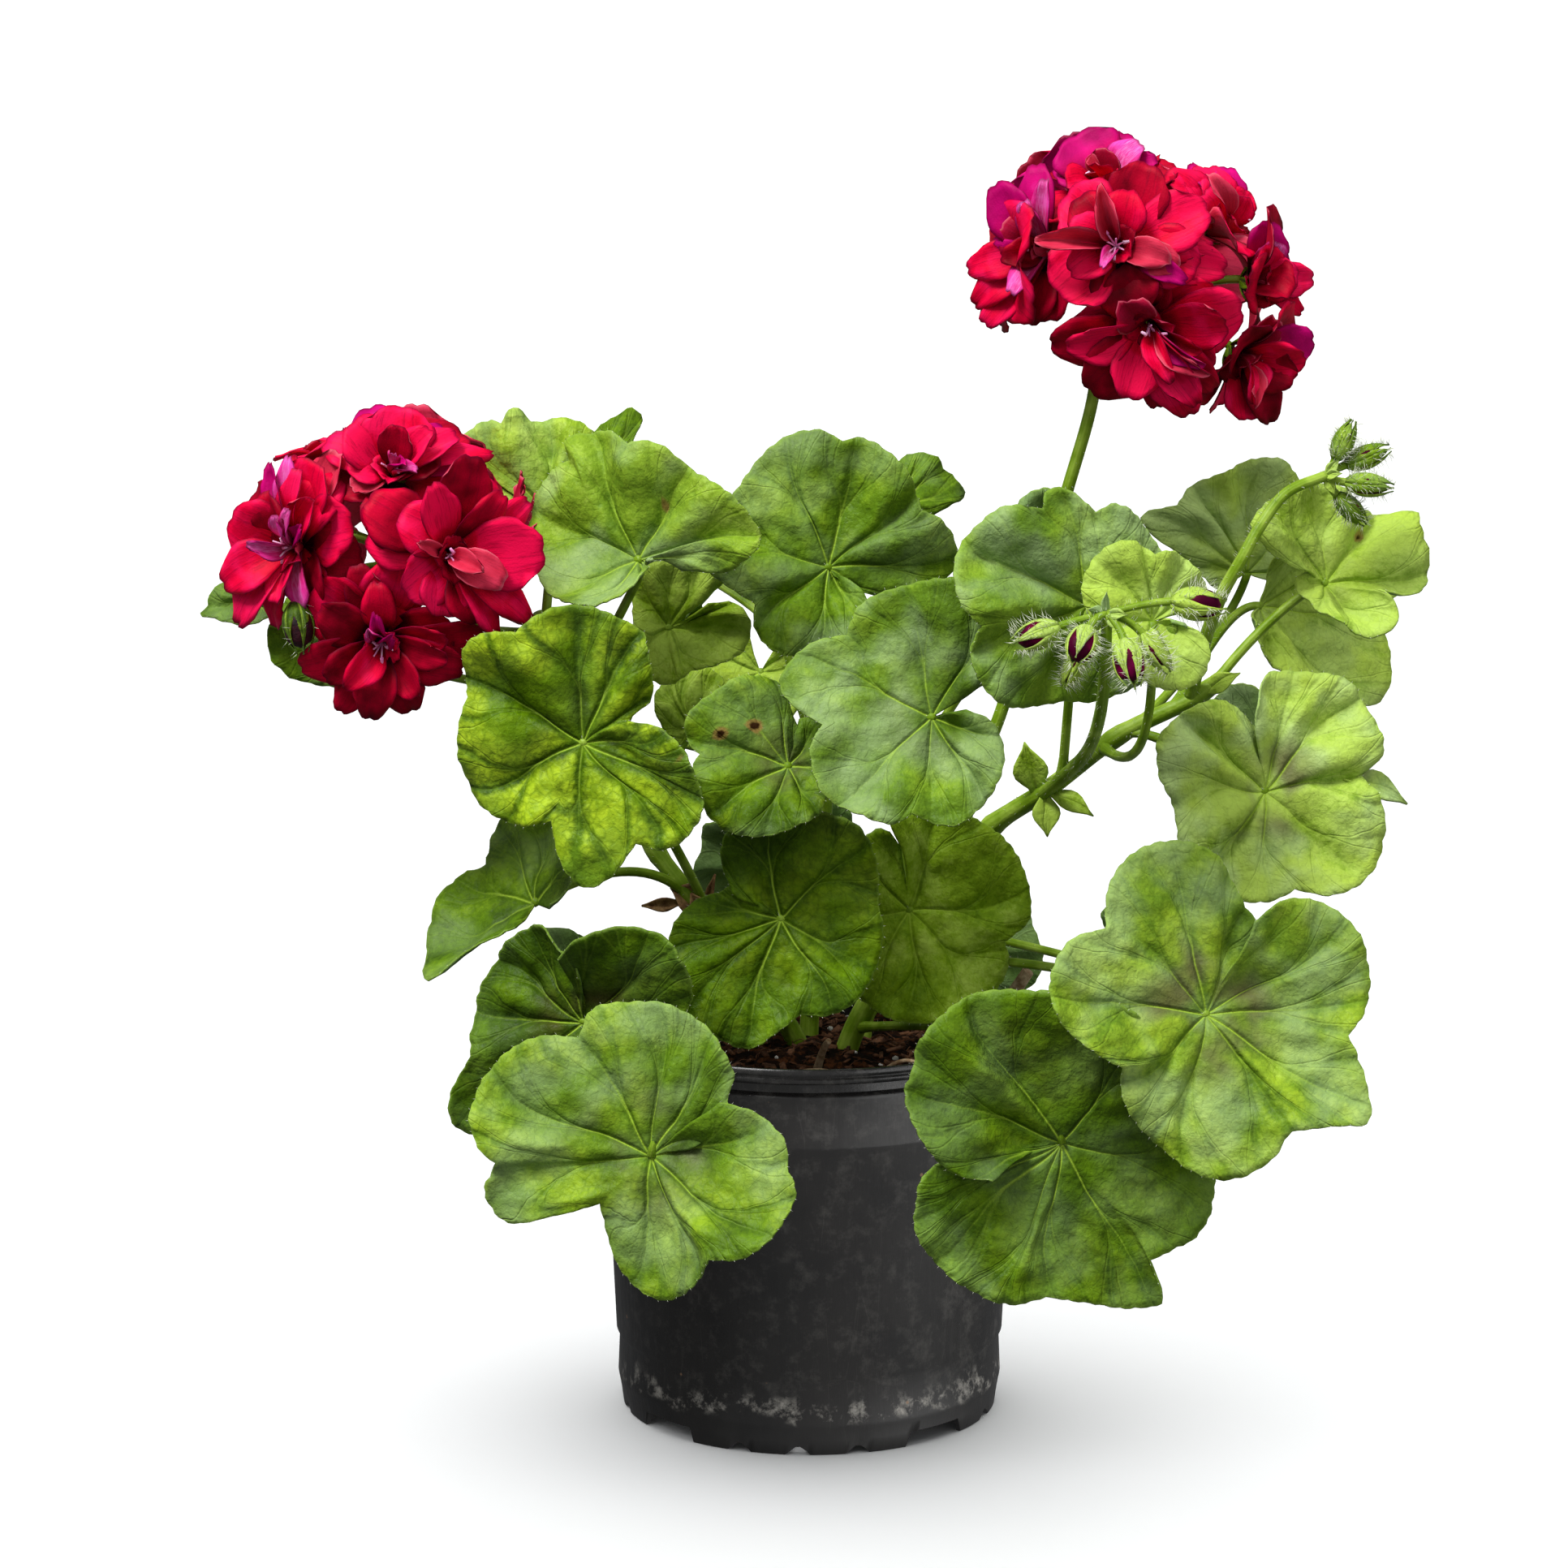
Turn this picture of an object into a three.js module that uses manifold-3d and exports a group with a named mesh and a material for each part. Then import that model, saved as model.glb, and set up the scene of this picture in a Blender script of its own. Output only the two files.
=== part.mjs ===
// An ivy geranium in a black plastic nursery pot: soil, four stems, thirty-six leaves on their stalks,
// two round heads of double crimson flowers and two clusters of buds.
// Millimetres, +Z up, front towards -Y. The origin is the middle of the pot's underside.
import * as THREE from 'three';
import { mergeVertices } from 'three/addons/utils/BufferGeometryUtils.js';
import Module from 'manifold-3d';

const wasm = await Module();
wasm.setup();

// Driving dimensions of the pot
const RIM_RADIUS = 60;
const POT_HEIGHT = 108;
const LIP_HEIGHT = 4;
const BASE_RADIUS = 51.7;
const SKIRT_HEIGHT = 8;
const SKIRT_WALL = 1.5;
const FLOOR_STEP = 3.5;
const FLOOR_THICKNESS = 1.6;
const CENTRE_PAD_RADIUS = 38.5;
const POT_WALL = 1.3;
const LIP_WALL = 1.6;
const BAND_HEIGHT = 3.4;
const BAND_DEPTH = 4.4;
const SHOULDER_DEPTH = 3;
const POT_SIDES = 24;
const NOTCH_TURN = -3.6;
const LARGE_NOTCH = { width: 17, height: 3.4 };
const SMALL_NOTCH_RADIUS = 2.4;
const SMALL_NOTCH_ANGLES = [-18, 0, 18];
const DRAIN_RADIUS = 3.5;
const DRAIN_PLACE = 45;

// Driving dimensions of the plant
const CLEARANCE = 0.3;
const SOIL_LEVEL = 98;
const SOIL_CROWN = 2.5;
const BLADE_THICKNESS = 0.9;
const LOBE_ANGLE = 52;
const LEAF_CUP = 0.08;
const LEAF_FOLD = 0.05;
const STALK_RADIUS = 1.15;
const FLOWER_BOSS_RADIUS = 4;
const PEDICEL_RADIUS = 0.9;
const HEAD_STALK_RADII = [1.9, 1.6];
const UMBEL_RADIUS = 2.6;
const BUD_OUTLINE = [[0, 0], [2.7, 1.6], [3.5, 4.8], [2.2, 8.8], [0, 12]];

// Petals in two rings. Each widens from a narrow base to a broad rounded tip, leaning further out from
// the flower's axis towards its tip
const PETAL_THICKNESS = 0.8;
const OUTER_PETALS = { count: 5, length: 25, width: 15.5, leans: [56, 65, 76], turn: 0, columns: 2 };
const INNER_PETALS = { count: 3, length: 15, width: 9.5, leans: [20, 36, 50], turn: 30, columns: 1 };
const BACK_PETALS = { ...OUTER_PETALS, columns: 1 };
const PETAL_WIDTHS = [0.1, 1, 0.7];
const PETAL_CUP = 0.05;
const PETAL_TWIST = 1.3;
const PETAL_START = 2;

// The stems' centre lines, from inside the soil to the tip, their radii at both ends, and the small
// pointed leaflets where stalks part: place, direction, facing side, length and width
const STEMS = {
  left: {
    radii: [3.2, 1.9],
    line: [[-2, 5, 70], [-3, 5, 99], [-22, 0, 125], [-33, -6, 144], [-44, 0, 158], [-56, 5, 187],
      [-66, 5, 205], [-74, 1, 220]],
  },
  right: {
    radii: [3.4, 2.2],
    line: [[9, -2, 70], [10, -2, 99], [34, -1, 141], [48, -8, 162], [64, -16, 175], [83, -22, 191],
      [102, -24, 201], [109, -24, 206]],
    bracts: [
      { at: [61, -16, 174], points: [-0.25, -0.2, 0.95], face: [-0.2, -1, 0.1], length: 14, width: 7 },
      { at: [63, -17, 174], points: [0.05, -0.35, -0.95], face: [0, -1, 0.3], length: 11, width: 5.5 },
      { at: [64, -17, 174.5], points: [0.9, -0.3, -0.45], face: [0.3, -0.9, 0.5], length: 13, width: 4.5 },
      { at: [104, -25, 202.5], points: [0.8, -0.3, 0.5], face: [-0.3, -0.9, 0.4], length: 12, width: 5.5 },
    ],
  },
  middle: {
    radii: [3, 1.7],
    line: [[0, 18, 70], [0, 18, 100], [2, 22, 130], [4, 25, 165], [-4, 24, 200], [-10, 20, 224]],
  },
  back: {
    radii: [2.8, 1.7],
    line: [[14, 14, 70], [15, 16, 100], [22, 32, 130], [30, 42, 160], [34, 46, 192]],
  },
};

// Each leaf: the hub where its veins meet, the turn and rise of its upper face, and the place on a stem
// where its stalk grows. A leaf's edge runs round from one side of its slit to the other as directions
// and distances from the hub, measured in the front view. Its notches are named by their directions.
// A leaf with a size instead of an edge has the plain round outline with its middle lobe towards the tip.
const LEAVES = {
  leaf_01: {
    hub: [-71, 22, 243], face: [-10, 20], foot: ['left', 0.97],
    edge: [[-8, 17], [36, 20], [62, 26], [75, 27], [88, 27], [102, 26], [107, 30], [118, 27], [125, 30],
      [140, 30], [161, 24], [202, 14]],
    notches: [102, 118],
  },
  leaf_02: {
    hub: [-57, 42, 258], face: [20, 58], foot: ['middle', 0.97],
    edge: [[10, 7], [27, 9], [39, 13], [50, 12], [73, 9], [111, 7], [175, 7]],
    notches: [],
  },
  leaf_03: {
    hub: [-46, -28, 239], face: [-20, 22], foot: ['left', 0.84], bend: [[262, -0.3]],
    edge: [[-9, 11], [-6, 19], [-1, 26], [8, 32], [15, 33], [31, 31], [52, 27], [70, 28], [81, 27],
      [87, 26], [101, 31], [116, 33], [122, 33], [126, 28], [138, 30], [154, 31], [179, 28], [199, 25],
      [207, 24], [225, 20], [245, 16], [274, 13], [299, 9], [330, 5]],
    notches: [52, 87, 126, 207],
  },
  leaf_04: {
    hub: [5, -8, 234], face: [4, 14], foot: ['middle', 0.93],
    edge: [[-38, 11], [-25, 19], [-11, 29], [2, 35], [14, 34], [24, 31], [30, 28], [46, 31], [65, 33],
      [77, 34], [84, 32], [93, 35], [104, 36], [117, 35], [141, 32], [161, 32], [181, 33], [193, 27],
      [207, 22], [217, 25], [230, 27], [246, 26], [265, 22], [292, 18], [316, 14]],
    notches: [30, 84, 207],
  },
  leaf_05: {
    hub: [25, 30, 246], face: [30, 52], foot: ['middle', 0.99],
    edge: [[-24, 7], [-3, 15], [6, 19], [27, 14], [60, 11], [89, 10], [134, 8]],
    notches: [],
  },
  leaf_06: {
    hub: [-38, 2, 216], face: [5, 12], foot: ['left', 0.74],
    edge: [[37, 11], [40, 20], [55, 20], [90, 18], [120, 17], [169, 10], [230, 13], [253, 15], [273, 15],
      [297, 13], [322, 16], [342, 21], [361, 22], [379, 19], [390, 12]],
    notches: [297],
  },
  leaf_07: { hub: [-14, 41, 198], size: 19, face: [-12, 20], tip: 265, foot: ['middle', 0.6] },
  leaf_08: {
    hub: [-33, 14, 186], face: [-5, 25], foot: ['left', 0.62],
    edge: [[-6, 8], [19, 12], [44, 15], [70, 17], [90, 15], [117, 14], [148, 11], [173, 8], [228, 5]],
    notches: [90],
  },
  leaf_09: {
    hub: [-60, -48, 193], face: [-14, 10], foot: ['left', 0.36], rings: 2, bend: [[262, 0.16]],
    edge: [[28, 14], [34, 21], [45, 26], [61, 33], [70, 34], [83, 35], [95, 35], [107, 33], [117, 31],
      [132, 36], [144, 37], [152, 34], [160, 31], [174, 32], [189, 33], [207, 33], [219, 31], [235, 27],
      [249, 22], [260, 31], [270, 37], [283, 35], [300, 29], [309, 34], [320, 36], [334, 36], [347, 32],
      [360, 28], [373, 22], [386, 14]],
    notches: [117, 160, 249, 300],
  },
  leaf_10: {
    hub: [-6, -46, 187], face: [-2, 28], foot: ['middle', 0.5],
    edge: [[80, 11], [92, 18], [102, 21], [116, 23], [133, 24], [153, 27], [163, 28], [171, 26],
      [176, 23], [184, 25], [201, 25], [223, 23], [239, 21], [251, 19], [271, 17], [298, 16], [324, 13],
      [363, 13], [409, 13], [434, 11]],
    notches: [176, 251],
  },
  leaf_11: {
    hub: [31, -60, 202], face: [-4, 18], foot: ['right', 0.5],
    edge: [[29, 17], [41, 25], [56, 31], [70, 34], [84, 33], [108, 33], [124, 33], [137, 30], [149, 36],
      [159, 39], [169, 40], [177, 35], [185, 28], [195, 32], [215, 34], [233, 31], [251, 29], [259, 25],
      [273, 27], [285, 28], [315, 24], [334, 21], [355, 16], [371, 9]],
    notches: [137, 185, 259],
  },
  leaf_12: {
    hub: [71, -62, 231], face: [5, 4], foot: ['right', 0.72],
    edge: [[8, 21], [29, 23], [48, 24], [68, 27], [78, 27], [86, 24], [99, 30], [110, 32], [116, 28],
      [129, 34], [143, 36], [161, 37], [177, 34], [188, 29], [200, 33], [215, 34], [228, 33], [241, 29],
      [256, 25], [274, 25], [298, 24], [332, 23], [350, 21]],
    notches: [86, 116, 188, 256],
  },
  leaf_13: {
    hub: [87, -73, 229], face: [8, 14], foot: ['right', 0.8], via: [[88, -69, 200], [86, -54, 184]],
    edge: [[7, 11], [23, 16], [46, 16], [74, 17], [93, 16], [106, 20], [121, 22], [137, 22], [159, 20],
      [185, 15], [234, 14], [270, 17], [300, 19], [325, 17], [343, 13], [354, 6]],
    notches: [93],
  },
  leaf_14: {
    hub: [120, 16, 229], face: [10, 10], foot: ['right', 0.86], via: [[117, 26, 214], [98, 6, 197]],
    edge: [[-27, 15], [9, 22], [41, 25], [64, 28], [77, 31], [92, 30], [108, 28], [126, 29], [139, 28],
      [152, 34], [158, 29], [165, 19], [203, 10]],
    notches: [108, 139],
  },
  leaf_15: {
    hub: [137, -24, 232], face: [20, 22], foot: ['right', 0.99], bend: [[300, -0.25]],
    edge: [[168, 8], [213, 8], [259, 11], [288, 17], [312, 19], [326, 17], [337, 11], [345, 21],
      [358, 26], [372, 27], [385, 27], [394, 29], [407, 23], [422, 20], [443, 23], [469, 25], [493, 27],
      [511, 28], [518, 20], [522, 12]],
    notches: [337, 422],
  },
  leaf_16: {
    hub: [123, 2, 222], face: [34, 12], foot: ['right', 0.92],
    edge: [[203, 6], [249, 11], [274, 17], [293, 23], [307, 33], [317, 43], [330, 41], [344, 37],
      [352, 34], [358, 40], [363, 45], [375, 39], [396, 25], [425, 16], [461, 12]],
    notches: [352],
  },
  leaf_17: {
    hub: [120, -42, 179], face: [12, 14], foot: ['right', 0.84], rings: 2,
    flaps: [
      { at: [140.5, -37.4, 182.5], points: [0.9, 0.2, -0.42], face: [0.2, -0.6, 0.7], length: 20, width: 9 },
    ],
    edge: [[101, 17], [113, 24], [126, 29], [142, 32], [157, 35], [170, 32], [188, 26], [209, 28],
      [235, 33], [253, 29], [270, 28], [283, 26], [299, 31], [314, 34], [331, 34], [350, 30], [367, 25],
      [375, 31], [396, 33], [412, 35], [430, 32], [450, 30], [459, 22]],
    notches: [188, 283, 367],
  },
  leaf_18: {
    hub: [103, -68, 125], face: [12, 14], foot: ['right', 0.3], rings: 2,
    edge: [[68, 28], [87, 40], [101, 45], [114, 46], [128, 43], [141, 36], [152, 43], [165, 45],
      [178, 42], [194, 33], [207, 27], [225, 31], [251, 35], [270, 41], [280, 42], [292, 40], [303, 36],
      [317, 43], [324, 49], [338, 42], [349, 36], [360, 41], [371, 43], [386, 43], [402, 40], [415, 34],
      [425, 25]],
    notches: [141, 207, 303, 349],
  },
  leaf_19: {
    hub: [66, -64, 89], face: [8, -2], foot: ['right', 0.2], rings: 2,
    via: [[60, -56, 123], [34, -24, 112]],
    edge: [[199, 41], [206, 44], [214, 45], [231, 45], [249, 44], [265, 40], [282, 43], [294, 48],
      [301, 50], [306, 38], [315, 41], [329, 45], [346, 43], [367, 41], [398, 38], [425, 41], [444, 43],
      [461, 44], [482, 48], [501, 49], [509, 46], [519, 45], [534, 38], [549, 30], [557, 21]],
    notches: [265, 306, 509],
  },
  leaf_20: {
    hub: [-42, -72, 88], face: [-14, 14], foot: ['left', 0.22], rings: 2,
    via: [[-34, -64, 124], [-22, -36, 113]],
    edge: [[39, 26], [45, 31], [62, 36], [81, 39], [96, 39], [111, 39], [122, 34], [134, 40], [150, 44],
      [169, 45], [180, 42], [186, 38], [196, 43], [207, 41], [215, 28], [225, 18], [240, 23], [256, 31],
      [274, 36], [290, 34], [306, 30], [320, 36], [337, 39], [352, 40], [360, 37], [370, 37], [385, 31],
      [397, 25]],
    notches: [122, 186, 225, 306, 360],
  },
  leaf_21: {
    hub: [-61, -45, 117], face: [-26, 4], foot: ['left', 0.27], arch: 10,
    edge: [[94, 20], [106, 27], [128, 28], [154, 28], [181, 29], [202, 29], [212, 39], [223, 45],
      [233, 41], [258, 35], [288, 29], [323, 25], [352, 23], [384, 32], [404, 36], [420, 33], [437, 25],
      [448, 19]],
    notches: [202],
  },
  leaf_22: {
    hub: [-75, -20, 145], face: [-40, 38], foot: ['left', 0.47], arch: 12,
    edge: [[-8, 8], [14, 15], [54, 17], [79, 20], [99, 21], [119, 19], [154, 14], [174, 21], [195, 27],
      [211, 32], [226, 34], [231, 22], [256, 8]],
    notches: [154],
  },
  leaf_23: {
    hub: [-8, -44, 145], face: [-4, 6], foot: ['middle', 0.22],
    edge: [[155, 17], [168, 23], [183, 28], [202, 32], [221, 35], [240, 35], [256, 35], [269, 29],
      [283, 25], [299, 28], [317, 29], [339, 28], [359, 27], [369, 26], [392, 30], [410, 33], [431, 31],
      [455, 30], [481, 27], [495, 22], [512, 14]],
    notches: [283, 369],
  },
  leaf_24: {
    hub: [27, -24, 143], face: [8, 4], foot: ['right', 0.24],
    edge: [[115, 25], [154, 24], [184, 24], [219, 25], [241, 27], [261, 29], [278, 30], [300, 32],
      [323, 31], [334, 29], [341, 26], [353, 31], [365, 32], [386, 32], [404, 31], [424, 29], [446, 27],
      [465, 26]],
    notches: [341],
  },
  leaf_25: {
    hub: [-127, 14, 210], face: [-20, 14], foot: ['left', 0.86], via: [[-118, 24, 203], [-82, 14, 195]],
    edge: [[115, 13], [141, 19], [164, 20], [193, 20], [215, 18], [246, 13], [298, 12], [345, 13],
      [385, 13], [433, 12]],
    notches: [215],
  },
  leaf_26: {
    hub: [-153, 14, 222], face: [-30, 20], foot: ['left', 0.96], via: [[-154, 34, 214], [-110, 34, 212]],
    edge: [[113, 7], [153, 9], [185, 12], [201, 14], [213, 11], [261, 7], [326, 8], [384, 8], [441, 7]],
    notches: [213],
  },
  leaf_27: { hub: [26, 64, 184], size: 25, face: [176, 24], tip: 20, foot: ['back', 0.65] },
  leaf_28: { hub: [-71, 60, 186], size: 25, face: [205, 30], tip: 330, foot: ['middle', 0.6] },
  leaf_29: { hub: [-8, 74, 136], size: 30, face: [184, 18], tip: 265, foot: ['back', 0.35] },
  leaf_30: { hub: [69, 52, 223], size: 27, face: [156, 30], tip: 210, foot: ['back', 0.85] },
  leaf_31: { hub: [-42, 60, 232], size: 22, face: [198, 34], tip: 60, foot: ['middle', 0.9] },
  leaf_32: { hub: [4, 60, 231], size: 25, face: [176, 32], tip: 140, foot: ['back', 0.98] },
  leaf_33: {
    hub: [-63, 52, 99], size: 29, face: [214, 14], tip: 290, foot: ['left', 0.24],
    via: [[-52, 44, 128], [-30, 22, 120]],
  },
  leaf_34: { hub: [42, 74, 111], size: 29, face: [168, 10], tip: 270, foot: ['back', 0.25] },
  leaf_35: { hub: [108, 40, 112], size: 32, face: [140, 16], tip: 300, foot: ['back', 0.45] },
  leaf_36: { hub: [126, 45, 172], size: 25, face: [135, 30], tip: 20, foot: ['right', 0.82] },
};

// Each flower head: its stalk's line up to the point where the flower stalks part, and each flower's
// middle with the direction that it faces
const HEADS = {
  left: {
    stem: 'left',
    stalk: [[-66, 5, 205], [-78, 4, 211], [-93, 3, 219], [-104, -2, 235]],
    flowers: [
      { at: [-107, -31, 261], faces: [0.1, -0.8, 0.58] },
      { at: [-134, -28, 246], faces: [-0.65, -0.75, 0] },
      { at: [-92, -38, 243], faces: [0.5, -0.86, -0.02] },
      { at: [-113, -32, 221], faces: [0, -0.93, -0.35] },
      { at: [-124, -6, 259], faces: [-0.45, 0.05, 0.85] },
      { at: [-87, -6, 240], faces: [0.9, 0.1, -0.25] },
      { at: [-104, 8, 256], faces: [0.3, 0.6, 0.7] },
      { at: [-131, 10, 243], faces: [-0.7, 0.7, 0.1] },
    ],
  },
  right: {
    stem: 'right',
    stalk: [[40, -4, 152], [45, 3, 174], [52, 2, 193], [69, 0, 253], [76, 0, 280], [77, 0, 300]],
    flowers: [
      { at: [81, -31, 322], faces: [-0.2, -0.93, 0.25] },
      { at: [88, -29, 301], faces: [0, -0.9, -0.45] },
      { at: [56, -9, 316], faces: [-0.95, -0.25, 0] },
      { at: [78, -6, 334], faces: [-0.3, -0.35, 0.9] },
      { at: [104, -5, 325], faces: [0.75, -0.12, 0.6] },
      { at: [118, -6, 310], faces: [0.95, -0.2, -0.15] },
      { at: [114, -12, 291], faces: [0.7, -0.35, -0.62] },
      { at: [73, 20, 327], faces: [-0.5, 0.75, 0.4] },
      { at: [101, 24, 315], faces: [0.5, 0.85, 0.1] },
    ],
  },
};

// Each bud cluster: its stalk's line, and each bud's base, direction and size
const BUD_CLUSTERS = {
  front: {
    stem: 'right',
    stalk: [[62, -15, 173], [66, -26, 179], [72, -46, 190], [74, -68, 204], [74, -84, 219], [74, -88, 233]],
    buds: [
      { at: [62, -90, 230], points: [-0.9, -0.15, -0.35], scale: 1 },
      { at: [69, -93, 230], points: [-0.3, -0.75, -0.55], scale: 1 },
      { at: [68, -88, 224], points: [-0.45, -0.1, -0.9], scale: 0.85 },
      { at: [78, -93, 227], points: [0.15, -0.6, -0.75], scale: 1.05 },
      { at: [83, -88, 228], points: [0.55, -0.1, -0.8], scale: 0.95 },
      { at: [90, -88, 236], points: [0.98, -0.15, -0.05], scale: 1.1 },
    ],
  },
  top: {
    stem: 'right',
    stalk: [[101, -24, 201], [103, -33, 215], [107, -41, 230.5], [112, -43, 240.5], [117.5, -41, 250],
      [124, -38, 257.5], [134.5, -34, 261.5]],
    buds: [
      { at: [137, -33, 265.5], points: [0.4, 0, 0.9], scale: 0.9 },
      { at: [140, -31, 264], points: [0.93, 0.1, 0.35], scale: 1 },
      { at: [139.5, -36, 260], points: [0.98, -0.2, -0.08], scale: 1 },
      { at: [137.5, -33, 256.5], points: [0.68, 0.1, -0.68], scale: 0.9 },
    ],
  },
};

const radians = THREE.MathUtils.degToRad;
const vector = (xyz) => new THREE.Vector3(...xyz);
const UP = new THREE.Vector3(0, 0, 1);

// Whether a mesh's triangles face outwards, from the sign of the volume that they close in
function facesOutwards(places, corners) {
  const [a, b, c] = [new THREE.Vector3(), new THREE.Vector3(), new THREE.Vector3()];
  let volume = 0;
  for (let i = 0; i < corners.length; i += 3) {
    a.fromBufferAttribute(places, corners[i]);
    b.fromBufferAttribute(places, corners[i + 1]);
    c.fromBufferAttribute(places, corners[i + 2]);
    volume += a.dot(b.cross(c));
  }
  return volume > 0;
}

// A closed mesh as a solid for cutting and joining, with its faces turned outwards
function solidOf(geometry) {
  const bare = new THREE.BufferGeometry();
  bare.setAttribute('position', geometry.getAttribute('position').clone());
  if (geometry.index) bare.setIndex(geometry.index.clone());
  const merged = mergeVertices(bare, 1e-4);
  const index = merged.index.array;
  const corners = [];
  for (let i = 0; i < index.length; i += 3) {
    const [a, b, c] = [index[i], index[i + 1], index[i + 2]];
    if (a !== b && b !== c && c !== a) corners.push(a, b, c);
  }
  if (!facesOutwards(merged.attributes.position, corners)) corners.reverse();
  return new wasm.Manifold(new wasm.Mesh({
    numProp: 3,
    vertProperties: new Float32Array(merged.attributes.position.array),
    triVerts: new Uint32Array(corners),
  }));
}

const joined = (solids) => solids.reduce((whole, piece) => whole.add(piece));
const cut = (solid, tools) => tools.reduce((left, tool) => left.subtract(tool), solid);

function meshOf(name, solid, material) {
  const { numProp, vertProperties, triVerts } = solid.getMesh();
  const positions = new Float32Array((vertProperties.length / numProp) * 3);
  for (let i = 0; i < positions.length / 3; i++) {
    positions.set(vertProperties.subarray(i * numProp, i * numProp + 3), i * 3);
  }
  const geometry = new THREE.BufferGeometry();
  geometry.setAttribute('position', new THREE.BufferAttribute(positions, 3));
  geometry.setIndex(new THREE.BufferAttribute(new Uint32Array(triVerts), 1));
  geometry.computeVertexNormals();
  const mesh = new THREE.Mesh(geometry, material);
  mesh.name = name;
  return mesh;
}

// A thin closed sheet over a grid of points, given thickness along one direction. Both faces are split
// into the same triangles. An edge of the grid that shrinks to a point is left closed there.
function sheet(pointAt, columns, rows, thickness, direction) {
  const positions = [];
  const shift = direction.clone().multiplyScalar(-thickness);
  const grid = [];
  for (let i = 0; i <= columns; i++) {
    grid.push([]);
    for (let j = 0; j <= rows; j++) grid[i].push(pointAt(i, j));
  }
  const push = (...points) => points.forEach((p) => positions.push(p.x, p.y, p.z));
  const under = (p) => p.clone().add(shift);
  const face = (a, b, c) => {
    push(a, b, c);
    push(under(c), under(b), under(a));
  };
  const wall = (a, b) => {
    push(b, a, under(a));
    push(b, under(a), under(b));
  };
  for (let i = 0; i < columns; i++) {
    for (let j = 0; j < rows; j++) {
      face(grid[i][j], grid[i + 1][j], grid[i + 1][j + 1]);
      face(grid[i][j], grid[i + 1][j + 1], grid[i][j + 1]);
    }
    wall(grid[i][0], grid[i + 1][0]);
    wall(grid[i + 1][rows], grid[i][rows]);
  }
  for (let j = 0; j < rows; j++) {
    wall(grid[0][j + 1], grid[0][j]);
    wall(grid[columns][j], grid[columns][j + 1]);
  }
  const geometry = new THREE.BufferGeometry();
  geometry.setAttribute('position', new THREE.Float32BufferAttribute(positions, 3));
  return solidOf(geometry);
}

// A round stem along a curve, tapering from one radius to the other
function limb(curve, radii, sides, steps) {
  const frames = curve.computeFrenetFrames(steps);
  const tube = new THREE.CylinderGeometry(1, 1, 1, sides, steps);
  const places = tube.attributes.position;
  for (let i = 0; i < places.count; i++) {
    const step = Math.round((places.getY(i) + 0.5) * steps);
    const radius = THREE.MathUtils.lerp(radii[0], radii[1], step / steps);
    const point = curve.getPointAt(step / steps)
      .addScaledVector(frames.normals[step], places.getX(i) * radius)
      .addScaledVector(frames.binormals[step], places.getZ(i) * radius);
    places.setXYZ(i, point.x, point.y, point.z);
  }
  return solidOf(tube);
}

const lineOf = (points) => new THREE.CatmullRomCurve3(points.map(vector), false, 'centripetal');

// The pot, turned round its axis, with the notches of its foot and its drain holes
function potSolid() {
  const lip = POT_HEIGHT - LIP_HEIGHT;
  const bandBottom = lip - BAND_HEIGHT;
  const band = RIM_RADIUS - BAND_DEPTH;
  const shoulder = RIM_RADIUS - SHOULDER_DEPTH;
  const profile = [
    [0, 0], [CENTRE_PAD_RADIUS, 0], [CENTRE_PAD_RADIUS + 1.5, FLOOR_STEP],
    [BASE_RADIUS - SKIRT_WALL, FLOOR_STEP], [BASE_RADIUS - SKIRT_WALL, 0], [BASE_RADIUS, 0],
    [BASE_RADIUS + 1.2, SKIRT_HEIGHT], [shoulder, bandBottom - 1], [band, bandBottom],
    [band, lip], [RIM_RADIUS, lip], [RIM_RADIUS, POT_HEIGHT], [RIM_RADIUS - LIP_WALL, POT_HEIGHT],
    [band - POT_WALL, lip - 0.6], [shoulder - POT_WALL, bandBottom - 2],
    [BASE_RADIUS + 0.2, FLOOR_STEP + FLOOR_THICKNESS],
    [CENTRE_PAD_RADIUS + 1.2, FLOOR_STEP + FLOOR_THICKNESS],
    [CENTRE_PAD_RADIUS - 0.4, FLOOR_THICKNESS], [0, FLOOR_THICKNESS],
  ];
  const turned = new THREE.LatheGeometry(profile.map(([r, z]) => new THREE.Vector2(r, z)), POT_SIDES);
  turned.rotateX(Math.PI / 2);
  const cuts = [];
  for (let quarter = 0; quarter < 4; quarter++) {
    const turn = radians(quarter * 90 + NOTCH_TURN);
    const large = new THREE.BoxGeometry(LARGE_NOTCH.width, 12, LARGE_NOTCH.height * 2);
    large.translate(0, -BASE_RADIUS + 1, 0).rotateZ(turn + radians(45));
    cuts.push(solidOf(large));
    for (const angle of SMALL_NOTCH_ANGLES) {
      const small = new THREE.CylinderGeometry(SMALL_NOTCH_RADIUS, SMALL_NOTCH_RADIUS, 8, 6);
      small.translate(0, -BASE_RADIUS, 0).rotateZ(turn + radians(angle));
      cuts.push(solidOf(small));
    }
    const drain = new THREE.CylinderGeometry(DRAIN_RADIUS, DRAIN_RADIUS, 6, 6).rotateX(Math.PI / 2);
    drain.translate(0, -DRAIN_PLACE, FLOOR_STEP + 1).rotateZ(turn);
    cuts.push(solidOf(drain));
  }
  return cut(solidOf(turned), cuts);
}

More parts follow.
